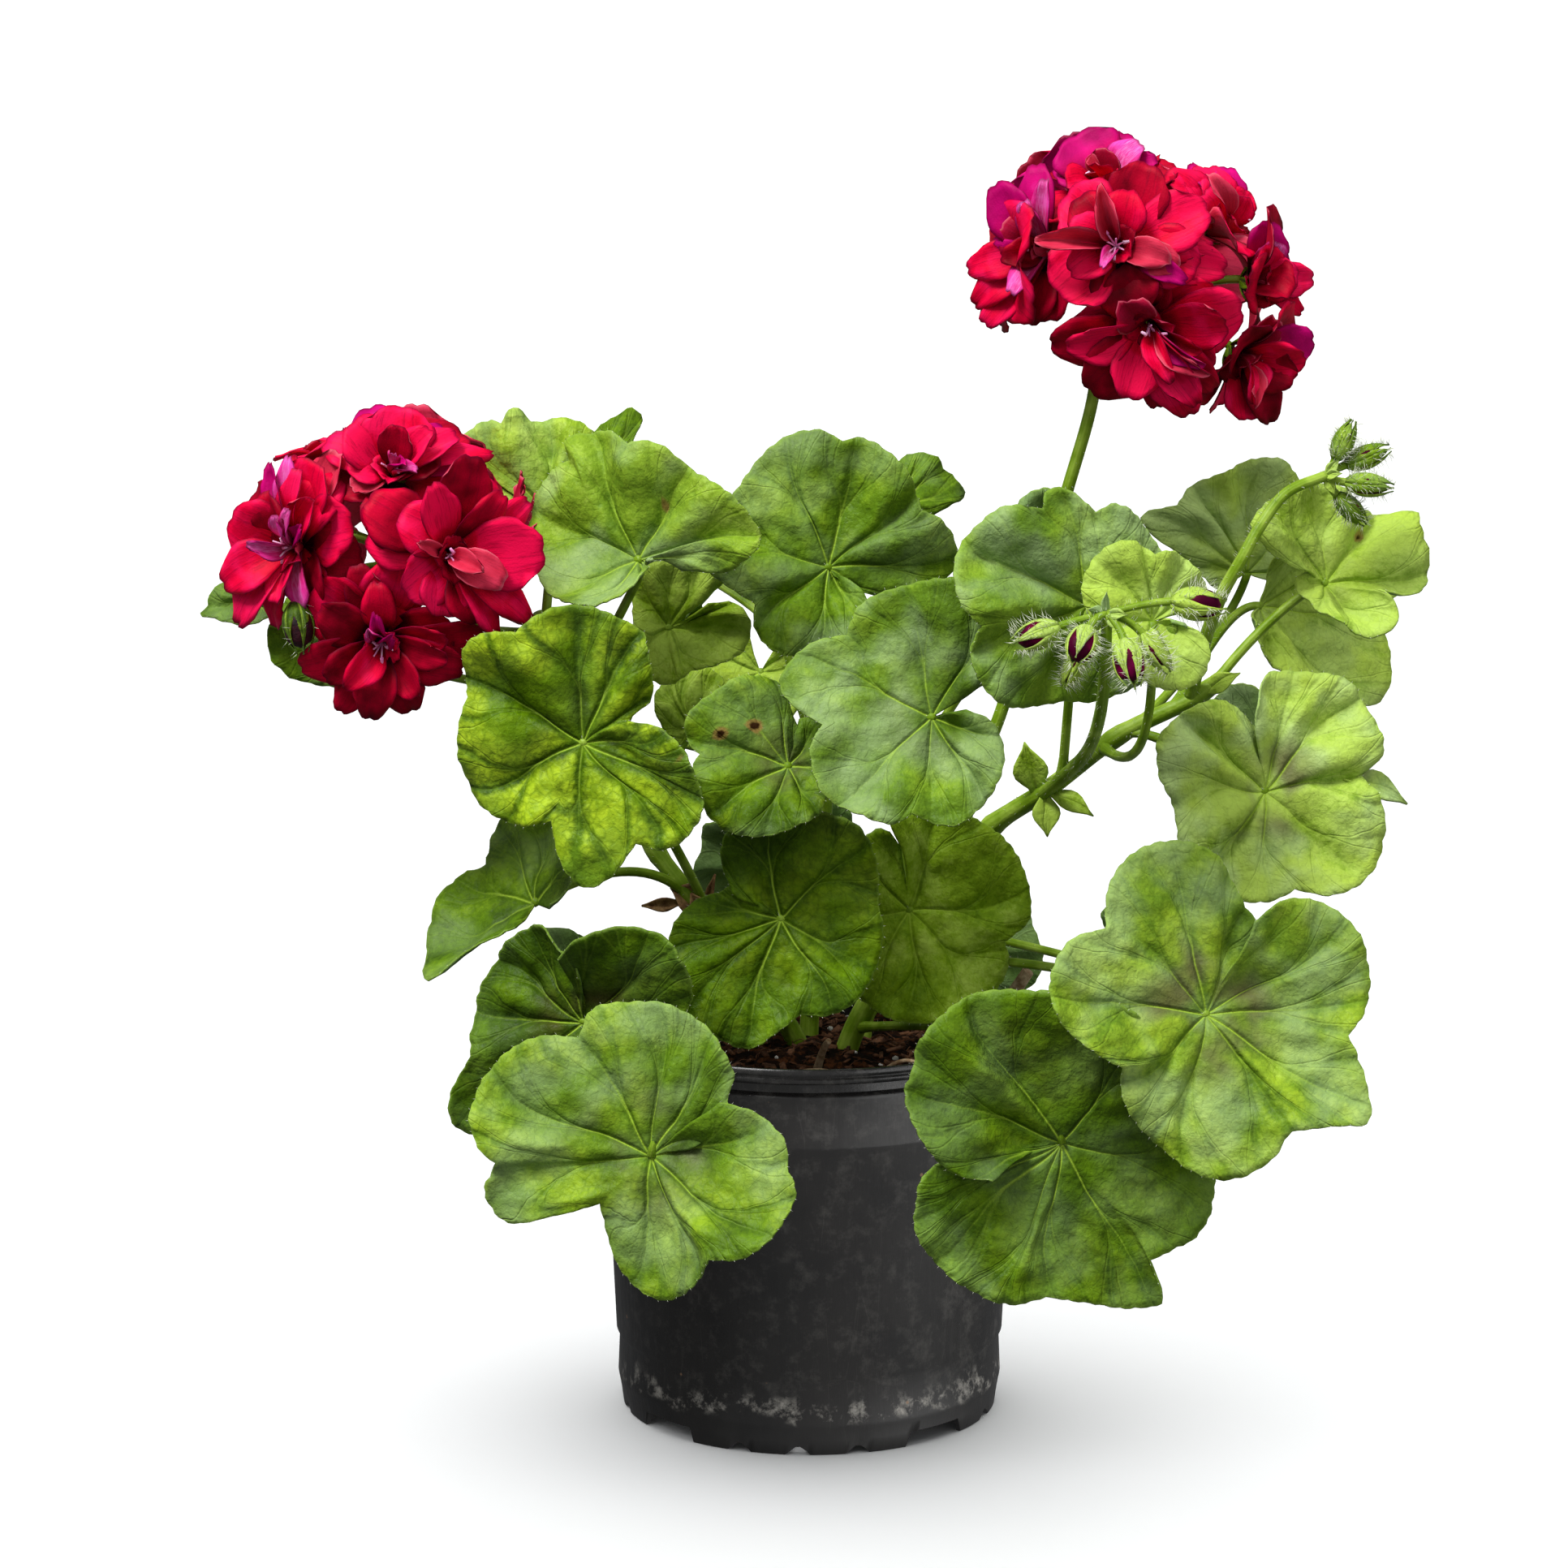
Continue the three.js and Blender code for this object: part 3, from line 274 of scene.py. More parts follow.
        hub=(66, -64, 89), face=(8, -2), foot=("right", 0.2), via=((60, -56, 123), (34, -24, 112)),
        look=(0.44, 0.15, 0, 0.2),
        folded=0.5,
        edge=((199, 41), (206, 44), (214, 45), (231, 45), (249, 44), (265, 40), (282, 43), (294, 48),
              (301, 50), (306, 38), (315, 41), (329, 45), (346, 43), (367, 41), (398, 38), (425, 41),
              (444, 43), (461, 44), (482, 48), (501, 49), (509, 46), (519, 45), (534, 38), (549, 30),
              (557, 21)),
        notches=(265, 306, 509), veins=(222, 239, 266, 298, 347, 418, 482, 518),
    ),
    "leaf_20": dict(
        hub=(-42, -72, 88), face=(-14, 14), foot=("left", 0.22), via=((-34, -64, 124), (-22, -36, 113)),
        look=(0.53, 0.4, 0.5, 0.45),
        folded=0.75,
        edge=((39, 26), (45, 31), (62, 36), (81, 39), (96, 39), (111, 39), (122, 34), (134, 40),
              (150, 44), (169, 45), (180, 42), (186, 38), (196, 43), (207, 41), (215, 28), (225, 18),
              (240, 23), (256, 31), (274, 36), (290, 34), (306, 30), (320, 36), (337, 39), (352, 40),
              (360, 37), (370, 37), (385, 31), (397, 25)),
        notches=(122, 186, 225, 306, 360), veins=(62, 86, 122, 153, 188, 262, 296, 333, 378),
    ),
    "leaf_21": dict(
        hub=(-61, -45, 117), face=(-26, 4), foot=("left", 0.27), arch=10, look=(0.3, 0.15, 0.7, 0.08),
        folded=0.6,
        edge=((94, 20), (106, 27), (128, 28), (154, 28), (181, 29), (202, 29), (212, 39), (223, 45),
              (233, 41), (258, 35), (288, 29), (323, 25), (352, 23), (384, 32), (404, 36), (420, 33),
              (437, 25), (448, 19)),
        notches=(202,), veins=(118, 150, 180, 225, 300, 380, 412),
    ),
    "leaf_22": dict(
        hub=(-75, -20, 145), face=(-40, 38), foot=("left", 0.47), arch=12, look=(0.45, 0.15, 0.1, 0.25),
        edge=((-8, 8), (14, 15), (54, 17), (79, 20), (99, 21), (119, 19), (154, 14), (174, 21), (195, 27),
              (211, 32), (226, 34), (231, 22), (256, 8)),
        notches=(154,), veins=(35, 88, 122, 175, 215),
    ),
    "leaf_23": dict(
        hub=(-8, -44, 145), face=(-4, 6), foot=("middle", 0.22), look=(0.38, 0.25, 0.1, 0.03),
        folded=0.45,
        edge=((155, 17), (168, 23), (183, 28), (202, 32), (221, 35), (240, 35), (256, 35), (269, 29),
              (283, 25), (299, 28), (317, 29), (339, 28), (359, 27), (369, 26), (392, 30), (410, 33),
              (431, 31), (455, 30), (481, 27), (495, 22), (512, 14)),
        notches=(283, 369), veins=(196, 226, 255, 300, 331, 402, 460),
    ),
    "leaf_24": dict(
        hub=(27, -24, 143), face=(8, 4), foot=("right", 0.24), look=(0.82, 0.1, 0, 0),
        folded=0.4,
        edge=((115, 25), (154, 24), (184, 24), (219, 25), (241, 27), (261, 29), (278, 30), (300, 32),
              (323, 31), (334, 29), (341, 26), (353, 31), (365, 32), (386, 32), (404, 31), (424, 29),
              (446, 27), (465, 26)),
        notches=(341,), veins=(142, 185, 228, 266, 318, 370, 432),
    ),
    "leaf_25": dict(
        hub=(-127, 14, 210), face=(-20, 14), foot=("left", 0.86), via=((-118, 24, 203), (-82, 14, 195)),
        look=(0.6, 0.2, 0, 0.3),
        edge=((115, 13), (141, 19), (164, 20), (193, 20), (215, 18), (246, 13), (298, 12), (345, 13),
              (385, 13), (433, 12)),
        notches=(215,), veins=(150, 190, 240, 310, 370, 410),
    ),
    "leaf_26": dict(
        hub=(-153, 14, 222), face=(-30, 20), foot=("left", 0.96), via=((-154, 34, 214), (-110, 34, 212)),
        look=(0.4, 0.1, 0, 0.3),
        edge=((113, 7), (153, 9), (185, 12), (201, 14), (213, 11), (261, 7), (326, 8), (384, 8),
              (441, 7)),
        notches=(213,), veins=(150, 190, 260, 330, 400),
    ),
    "leaf_27": dict(hub=(26, 64, 184), face=(176, 24), foot=("back", 0.65), size=25, tip=20),
    "leaf_28": dict(hub=(-71, 60, 186), face=(205, 30), foot=("middle", 0.6), size=25, tip=330),
    "leaf_29": dict(hub=(-8, 74, 136), face=(184, 18), foot=("back", 0.35), size=26, tip=265),
    "leaf_30": dict(hub=(69, 52, 223), face=(156, 30), foot=("back", 0.85), size=27, tip=210),
    "leaf_31": dict(hub=(-42, 60, 232), face=(198, 34), foot=("middle", 0.9), size=22, tip=60),
    "leaf_32": dict(hub=(4, 60, 231), face=(176, 32), foot=("back", 0.98), size=25, tip=140),
    "leaf_33": dict(
        hub=(-63, 52, 99), face=(214, 14), foot=("left", 0.24), size=29, tip=290,
        via=((-52, 44, 128), (-30, 22, 120)),
    ),
    "leaf_34": dict(hub=(42, 74, 111), face=(168, 10), foot=("back", 0.25), size=26, tip=270),
    "leaf_35": dict(hub=(108, 40, 112), face=(140, 16), foot=("back", 0.45), size=32, tip=300),
    # Painted light: this leaf's lightness and sheen are raised to offset the shade that falls on it
    "leaf_36": dict(
        hub=(126, 45, 172), face=(135, 30), foot=("right", 0.82), size=25, tip=20, look=(1.5, 0.3, 0, 0.8),
    ),
}

# Each flower head: its stalk's line up to the point where the flower stalks part, and its flowers: the
# middle, the way it faces, the heart where its petals meet as an offset from the middle, and the petals
# that show from the front: the tip's offset from the middle, the width seen, how far the petal is folded
# along its length in radians, and its kind. A withered bud is a bud as in the clusters below.
HEADS = {
    "left": dict(
        line=((-66, 5, 205), (-78, 4, 211), (-93, 3, 219), (-104, -2, 235)),
        withered=dict(at=(-135.5, -33, 228), points=(0.15, -0.4, -0.9), scale=1.1, opening=1.0, hairs=3),
        flowers=(
            dict(at=(-107, -31, 261), faces=(0.1, -0.8, 0.58), heart=(-2.5, -1, 0), petals=(
                ((-11.5, -6, 15.5), 17, 0.15, "bright"), ((0, -2, 19), 19, 0.15, "red"),
                ((-8.5, 4, 18.5), 15, 0.1, "magenta"), ((1, -9, 14.5), 9, 0.3, "dark"),
                ((7.5, -9, 13.5), 9, 0.4, "bright"), ((10, 1, 14), 11, 0.2, "magenta"),
                ((15.5, -4, 10.5), 9, 0.5, "red"), ((24, -1, 7.5), 6, 0.5, "red"),
                ((-20.5, 1, 9.5), 12, 0.2, "red"), ((-14, -7, 5), 13, 0.2, "bright"),
                ((-13, -8, -2.5), 8, 0.5, "back"), ((22, -1, 3), 6, 0.4, "magenta"),
                ((11, -6, 4.5), 10, 0.3, "dark"), ((-1.5, -12, 7), 4, 0.7, "white"),
                ((2, -14, 6), 4, 0.7, "magenta"), ((4.5, -13, 3.5), 4, 0.8, "white"),
            )),
            dict(at=(-134, -28, 246), faces=(-0.65, -0.75, 0), heart=(-0.5, -1, -3.5), petals=(
                ((-18.5, -4, 4), 19, 0.15, "red"), ((-9.5, -9, 10.5), 12, 0.4, "dark"),
                ((-6.5, -5, 19.5), 6, 0.8, "magenta"), ((-3, -7, 21), 7, 0.5, "white"),
                ((-0.5, -9, 18.5), 7, 0.5, "red"), ((10.5, -4, 22.5), 12, 0.35, "back"),
                ((-3, 1, 20.5), 7, 0.4, "dark"), ((10, -8, 15.5), 14, 0.2, "red"),
                ((4.5, -13, 11), 9, 0.6, "red"), ((17, -9, -4.5), 16, 0.2, "dark"),
                ((5.5, -4, -17.5), 15, 0.2, "red"), ((-13.5, -12, -2.5), 4.5, 1, "white"),
                ((-22, -2, -12.5), 13, 0.3, "red"), ((-17.5, -1, -25.5), 11, 0.4, "red"),
                ((-9.5, 1, -26), 8, 0.4, "red"), ((-6.5, -9, -18), 9, 0.4, "bright"),
                ((1, -9, -19.5), 8, 0.3, "white"), ((-6.5, -14, 5), 6, 0.3, "white"),
                ((-2.5, -16, 7), 5, 0.6, "white"), ((1.5, -15, 3.5), 4.5, 0.7, "magenta"),
            )),
            dict(at=(-92, -38, 243), faces=(0.5, -0.86, -0.02), heart=(-3.5, -1, -1.5), petals=(
                ((-23, -6, 14), 16, 0.15, "dark"), ((-5.5, -12, 18.5), 11, 0.3, "bright"),
                ((4, -5, 25.5), 15, 0.15, "dark"), ((13, -9, 14), 10, 0.3, "dark"),
                ((18.5, -1, 13), 10, 0.3, "red"), ((23.5, -6, 0), 19, 0.15, "bright"),
                ((7.5, -14, -4), 6, 0.7, "back"), ((12.5, -10, -8.5), 10, 0.4, "back"),
                ((-4, -6, -17.5), 16, 0.2, "red"), ((18.5, -2, -20), 9, 0.4, "red"),
                ((10.5, -3, -23), 7, 0.5, "red"), ((-24, -3, 3.5), 14, 0.15, "bright"),
                ((-10, -14, 3.5), 4, 0.7, "back"),
            )),
            dict(at=(-113, -32, 221), faces=(0, -0.93, -0.35), heart=(0.5, -1, -2), petals=(
                ((9, -4, 23), 15, 0.15, "red"), ((-5, -8, 18.5), 10, 0.4, "dark"),
                ((0, -11, 13), 9, 0.3, "dark"), ((-16, -8, 6), 13, 0.2, "dark"),
                ((-14, -5, -2.5), 10, 0.3, "dark"), ((-21.5, -3, -11), 13, 0.2, "dark"),
                ((-14.5, -7, -13), 11, 0.2, "dark"), ((-8, -13, -14.5), 9, 0.5, "red"),
                ((-11, -3, -22.5), 10, 0.2, "dark"), ((-3, -7, -23.5), 11, 0.4, "dark"),
                ((9, -8, -18), 9, 0.3, "dark"), ((18.5, -12, -5.5), 9, 0.3, "dark"),
                ((22, -7, -10), 13, 0.3, "dark"), ((7.5, -3, -22.5), 13, 0.3, "dark"),
                ((18, -12, 0), 9, 0.4, "dark"), ((27.5, -2, -3), 13, 0.3, "dark"),
                ((0.5, -16, 5), 4, 0.8, "magenta"), ((-3, -15, 1), 4.5, 0.6, "white"),
                ((5, -15, -0.5), 4, 0.7, "magenta"),
            )),
            dict(at=(-124, -6, 259), faces=(-0.45, 0.05, 0.85)),
            dict(at=(-87, -6, 240), faces=(0.9, 0.1, -0.25)),
            dict(at=(-104, 8, 256), faces=(0.3, 0.6, 0.7)),
            dict(at=(-131, 10, 243), faces=(-0.7, 0.7, 0.1)),
        ),
    ),
    "right": dict(
        line=((40, -4, 152), (45, 3, 174), (52, 2, 193), (69, 0, 253), (76, 0, 280), (77, 0, 300)),
        flowers=(
            dict(at=(81, -31, 322), faces=(-0.2, -0.93, 0.25), heart=(-1.5, -1, -1.5), petals=(
                ((22, -5, 9), 16, 0.15, "bright"), ((21.5, -2, 3), 14, 0.1, "red"),
                ((0, -7, 13.5), 13, 0.15, "red"), ((-11, -4, 12.5), 14, 0.2, "dark"),
                ((-15, -8, 4), 12, 0.15, "red"), ((-24, -9, 2), 6, 1.1, "back"),
                ((-17, -5, -13.5), 19, 0.2, "bright"), ((-14.5, -10, -6.5), 11, 0.35, "bright"),
                ((-7.5, -9, 15.5), 6, 1.2, "back"), ((10.5, -12, -4), 8, 0.5, "back"),
                ((13.5, -10, -6), 9, 0.4, "back"), ((23.5, -3, -2), 7, 0.5, "red"),
                ((27, -3, -8), 12, 0.2, "bright"), ((16, -10, -10), 6, 0.6, "magenta"),
                ((-6.5, -13, -5.5), 3.5, 0.9, "white"),
            )),
            dict(at=(88, -29, 301), faces=(0, -0.9, -0.45), heart=(0, -1, 0.5), petals=(
                ((24.5, -5, 2.5), 19, 0.15, "bright"), ((20, -10, 1), 14, 0.2, "red"),
                ((-22.5, -8, -5), 11, 0.55, "bright"), ((-26, -3, -5.5), 15, 0.1, "dark"),
                ((-16, -3, -17.5), 18, 0.15, "dark"), ((-5, -8, -19.5), 14, 0.15, "bright"),
                ((5, -13, -14.5), 6, 1, "red"), ((14.5, -13, -13), 5, 1.1, "back"),
                ((13.5, -9, -7), 6, 0.8, "dark"), ((13, -9, -21), 9, 0.7, "red"),
                ((9.5, -4, -25), 13, 0.3, "red"), ((3.5, -2, -22.5), 9, 0.2, "dark"),
                ((18.5, -2, -17), 11, 0.3, "dark"), ((-10, -5, 11.5), 13, 0.2, "dark"),
                ((-8, -12, 6.5), 11, 0.4, "mauve"), ((3, -6, 12.5), 7, 0.5, "dark"),
                ((13.5, -14, -10), 4.5, 1, "magenta"),
            )),
            dict(at=(56, -9, 316), faces=(-0.95, -0.25, 0), heart=(7, -1, 2), petals=(
                ((-15, -2, -2), 10, 0.3, "red"), ((-6.5, -8, 2), 8, 0.7, "dark"),
                ((-13.5, -2, -11.5), 10, 0.3, "red"), ((-10, -3, -17.5), 11, 0.3, "red"),
                ((0.5, -6, -16.5), 15, 0.2, "dark"), ((7, -8, -16), 15, 0.2, "dark"),
                ((-4.5, -13, -8), 7, 0.3, "white"), ((-0.5, -12, 16), 8, 0.3, "white"),
                ((6, -13, 22), 6, 0.5, "white"), ((-8.5, -4, 20), 13, 0.4, "magenta"),
                ((2.5, -2, 25.5), 11, 0.2, "magenta"), ((-6, -6, 8.5), 12, 0.2, "mauve"),
                ((-6.5, -2, 14), 9, 0.3, "magenta"), ((-8, -5, 4.5), 5, 0.4, "magenta"),
            )),
            dict(at=(78, -6, 334), faces=(-0.3, -0.35, 0.9), heart=(0, -1, 0.5), petals=(
                ((-8.5, 4, 14.5), 19, 0.15, "magenta"), ((5, 3, 15.5), 12, 0.2, "magenta"),
                ((8, -8, 13), 10, 0.3, "white"), ((13, -9, 8.5), 9, 0.4, "magenta"),
                ((-1, -6, 11.5), 9, 0.2, "mauve"), ((-5.5, -15, 7), 6, 0.9, "back"),
                ((12.5, -17, -0.5), 6, 1, "back"), ((-11.5, -13, 2.5), 13, 0.15, "red"),
                ((-13.5, 2, 6.5), 12, 0.2, "magenta"),
            )),
            dict(at=(104, -5, 325), faces=(0.75, -0.12, 0.6), heart=(4, -1, -1.5), petals=(
                ((-9.5, -8, 15), 12, 0.2, "red"), ((-4.5, -5, 14.5), 13, 0.2, "red"),
                ((0.5, -9, 9), 13, 0.2, "red"), ((-2, -2, 17), 6, 0.5, "magenta"),
                ((1.5, -3, 15.5), 11, 0.3, "red"), ((6, -1, 15.5), 11, 0.3, "magenta"),
                ((1, -13, 14), 6, 0.9, "back"), ((9.5, -8, 8.5), 10, 0.3, "red"),
                ((10.5, -1, 10), 10, 0.3, "red"),
            )),
            dict(at=(118, -6, 310), faces=(0.95, -0.2, -0.15), heart=(-1.5, -1, 0.5), petals=(
                ((4.5, -4, 16), 13, 0.2, "magenta"), ((6.5, -7, 10.5), 11, 0.3, "white"),
                ((8, -2, 5.5), 10, 0.2, "magenta"), ((2, -12, 9), 11, 0.3, "red"),
                ((10.5, -7, 1), 12, 0.3, "red"), ((8, -12, -2.5), 13, 0.5, "dark"),
                ((16, -1, 1), 9, 0.3, "red"), ((13.5, -1, -7.5), 6, 0.5, "red"),
                ((-0.5, -9, -5.5), 12, 0.4, "dark"),
            )),
            dict(at=(114, -12, 291), faces=(0.7, -0.35, -0.62), heart=(-1, -1, 0.5), petals=(
                ((19.5, -2, 4), 14, 0.2, "magenta"), ((16, -9, 1), 12, 0.3, "red"),
                ((14, -7, -6), 12, 0.3, "dark"), ((3, -13, -11), 7, 0.8, "red"),
                ((2.5, -14, -13), 4.5, 1.1, "back"), ((2, -5, -17), 15, 0.2, "red"),
                ((8, -4, -18), 10, 0.3, "dark"), ((8.5, -8, 10.5), 10, 0.3, "mauve"),
                ((-4, -7, -7), 12, 0.3, "dark"),
            )),
            dict(at=(73, 20, 327), faces=(-0.5, 0.75, 0.4)),
            dict(at=(101, 24, 315), faces=(0.5, 0.85, 0.1)),
        ),
    ),
}

# Each bud cluster: its stalk's line, how light its sepals are, and each bud's base, direction, size and
# how far its petals show
BUD_CLUSTERS = {
    "front": dict(
        tone=1.6,
        line=((62, -15, 173), (66, -26, 179), (72, -46, 190), (74, -68, 204), (74, -84, 219), (74, -88, 233)),
        buds=(
            dict(at=(62, -90, 230), points=(-0.9, -0.15, -0.35), scale=1, opening=0.8),
            dict(at=(69, -93, 230), points=(-0.3, -0.75, -0.55), scale=1, opening=1),
            dict(at=(68, -88, 224), points=(-0.45, -0.1, -0.9), scale=0.85, opening=0),
            dict(at=(78, -93, 227), points=(0.15, -0.6, -0.75), scale=1.05, opening=0.9),
            dict(at=(83, -88, 228), points=(0.55, -0.1, -0.8), scale=0.95, opening=0),
            dict(at=(90, -88, 236), points=(0.98, -0.15, -0.05), scale=1.1, opening=1),
        ),
    ),
    "top": dict(
        tone=0.75,
        line=((101, -24, 201), (103, -33, 215), (107, -41, 230.5), (112, -43, 240.5), (117.5, -41, 250),
              (124, -38, 257.5), (134.5, -34, 261.5)),
        buds=(
            dict(at=(137, -33, 265.5), points=(0.4, 0, 0.9), scale=0.9, opening=0),
            dict(at=(140, -31, 264), points=(0.93, 0.1, 0.35), scale=1, opening=0),
            dict(at=(139.5, -36, 260), points=(0.98, -0.2, -0.08), scale=1, opening=0),
            dict(at=(137.5, -33, 256.5), points=(0.68, 0.1, -0.68), scale=0.9, opening=0),
        ),
    ),
}


# Finishes

def linear(shade):
    """A linear colour from its sRGB hex value."""
    parts = [int(shade[i:i + 2], 16) / 255 for i in (1, 3, 5)]
    return [p / 12.92 if p <= 0.04045 else ((p + 0.055) / 1.055) ** 2.4 for p in parts] + [1]


def add(tree, kind, *inputs, out=0, stops=(), **named):
    """Adds a node and gives one output. Inputs are values or links, in order or by their capitalised
    names; a name in small letters is a setting, and stops are a ramp's."""
    node = tree.nodes.new("ShaderNode" + kind)
    by_name = {name: value for name, value in named.items() if name[0].isupper()}
    for name, value in named.items():
        if name not in by_name:
            setattr(node, name, value)
    for name, value in [*enumerate(inputs), *by_name.items()]:
        if isinstance(value, bpy.types.NodeSocket):
            tree.links.new(value, node.inputs[name])
        else:
            node.inputs[name].default_value = linear(value) if isinstance(value, str) else value
    for index, (place, shade) in enumerate(stops):
        ramp = node.color_ramp.elements
        stop = ramp[index] if index < 2 else ramp.new(place)
        stop.position = place
        stop.color = linear(shade)
    return node.outputs[out]


def finish(name, **surface):
    """A new material, add for its own nodes, and its shader with constant values set on the sockets."""
    made = bpy.data.materials.new(name)
    made.use_nodes = True
    shader = made.node_tree.nodes["Principled BSDF"]
    for socket, value in surface.items():
        name = socket.replace("_", " ")
        shader.inputs[name].default_value = linear(value) if isinstance(value, str) else value
    return made, functools.partial(add, made.node_tree), shader


def join(shader, **outputs):
    """Links outputs to the shader's sockets of these names."""
    for socket, output in outputs.items():
        shader.id_data.links.new(output, shader.inputs[socket.replace("_", " ")])


# Settings of a node whose edges fade out softly
SMOOTH = {"interpolation_type": "SMOOTHSTEP"}


def per_mm(size):
    """The scale of a pattern whose features are this many millimetres across."""
    return 1 / (size * MM)


def leaf_finish(name, under):
    """Living leaf, satin with fine down. Light tissue lies between darker bands along the veins; the main
    veins are lime green near the hub. Soft grey-green patches are painted sheen, and a pale line along the
    rim is a painted highlight of the fringe hairs. The lower side is paler and duller."""
    made, node, shader = finish(
        name, Roughness=0.6 if under else 0.42, Specular_IOR_Level=0.08 if under else 0.11, IOR=1.42,
    )
    place = node("TexCoord", out=3)
    chart = node("SeparateXYZ", node("UVMap", uv_map="UVMap")).node
    lobe, reach = chart.outputs[0], chart.outputs[1]
    span = node("Attribute", out=2, attribute_name="span")
    looks = node("Attribute", attribute_name="look").node
    look = node("SeparateColor", looks.outputs[0]).node
    tone, yellow, zone, painted_sheen_share = *look.outputs[:3], looks.outputs[3]
    speck = node("Attribute", out=2, attribute_name="speck")
    patch = node("TexNoise", place, Scale=per_mm(16), Detail=3)
    grain = node("TexNoise", place, Scale=per_mm(2), Detail=4, Roughness=0.65)
    cloud = node("TexNoise", place, Scale=per_mm(17))
    down = node("TexNoise", place, Scale=per_mm(0.7), Roughness=0.7)
    blotch = node("TexNoise", place, Scale=per_mm(4.2), Detail=3, Roughness=0.55)

    # Distances in millimetres from the main vein, and from the branches that part from it halfway out
    wander = node("TexNoise", place, Scale=per_mm(9))
    off = node("Math", wander, 0.09, -0.045, operation="MULTIPLY_ADD")
    across = node("Math", lobe, off, operation="ADD")
    side = node("Math", across, 0.5, operation="PINGPONG")
    main_gap = node("Math", side, span, operation="MULTIPLY")
    bold = node("TexWhiteNoise", W=node("Math", lobe, operation="ROUND"), noise_dimensions="1D")
    bold = node("MapRange", bold, 0.0, 1.0, 0.3, 1.0)
    main_width = node("MapRange", reach, 0.0, 1.0, 0.55, 0.16)
    main = node("MapRange", main_gap, main_width, 0.0, **SMOOTH)
    spread = node("MapRange", reach, 0.3, 1.0, 0.0, 0.36, **SMOOTH)
    fork_side = node("Math", side, spread, operation="SUBTRACT")
    fork_side = node("Math", fork_side, operation="ABSOLUTE")
    fork_gap = node("Math", fork_side, span, operation="MULTIPLY")
    fork = node("MapRange", fork_gap, 0.4, 0.0, **SMOOTH)
    twig_spread = node("MapRange", reach, 0.55, 1.05, 0.0, 0.13)
    twig_side = node("Math", fork_side, twig_spread, operation="SUBTRACT")
    twig_side = node("Math", twig_side, operation="ABSOLUTE")
    twig_gap = node("Math", twig_side, span, operation="MULTIPLY")
    twig = node("MapRange", twig_gap, 0.35, 0.0, **SMOOTH)
    bent = node("TexNoise", place, Scale=per_mm(5), out=1)
    bent = node("MixRGB", 0.003, place, bent, blend_type="ADD")
    net_gap = node("TexVoronoi", bent, Scale=per_mm(2.7), feature="DISTANCE_TO_EDGE")
    net = node("MapRange", net_gap, 0.12, 0.0, **SMOOTH)

    # A dark band runs along each vein, with a ragged edge; the leaf yellows between the bands
    ragged = node("Math", grain, 3.0, -1.5, operation="MULTIPLY_ADD")
    nearest = node("Math", fork_gap, 1.25, 0.5, operation="MULTIPLY_ADD")
    nearest = node("Math", main_gap, nearest, operation="MINIMUM")
    nearest = node("Math", nearest, ragged, operation="ADD")
    away = node("MapRange", nearest, 0.2, 3.0, **SMOOTH)

    banding = node("Math", yellow, 0.14, 0.03, operation="MULTIPLY_ADD")
    light = node("Math", patch, 1.0, -0.58, operation="MULTIPLY_ADD")
    light = node("Math", blotch, 0.16, light, operation="MULTIPLY_ADD")
    light = node("Math", light, tone, operation="ADD")
    light = node("Math", grain, 0.34, light, operation="MULTIPLY_ADD")
    light = node("Math", down, 0.26, light, operation="MULTIPLY_ADD")
    light = node("Math", away, banding, light, operation="MULTIPLY_ADD")
    light = node("Math", light, 0.37, operation="SUBTRACT")
    if under:
        shades = ((0, "#3C5520"), (0.5, "#577836"), (1, "#82A258"))
    else:
        shades = ((0, "#203600"), (0.28, "#385400"), (0.55, "#567802"), (0.8, "#7C9C1C"), (1, "#A2BE48"))
    colour = node("ValToRGB", light, stops=shades)
    broad = node("TexNoise", place, Scale=per_mm(24), Detail=1)
    ripe = node("MapRange", broad, 0.42, 0.6, 0.08, 1.0, **SMOOTH)
    spotty = node("MapRange", blotch, 0.35, 0.62, 0.6, 1.0, **SMOOTH)
    ripe = node("Math", ripe, spotty, operation="MULTIPLY")
    ripe = node("Math", ripe, away, operation="MULTIPLY")
    ripe = node("Math", ripe, yellow, operation="MULTIPLY")
    meshed = node("MapRange", net_gap, 0.0, 0.3, 0.6, 1.0, **SMOOTH)
    ripe = node("Math", ripe, meshed, operation="MULTIPLY")
    colour = node("MixRGB", ripe, colour, "#A5C022")
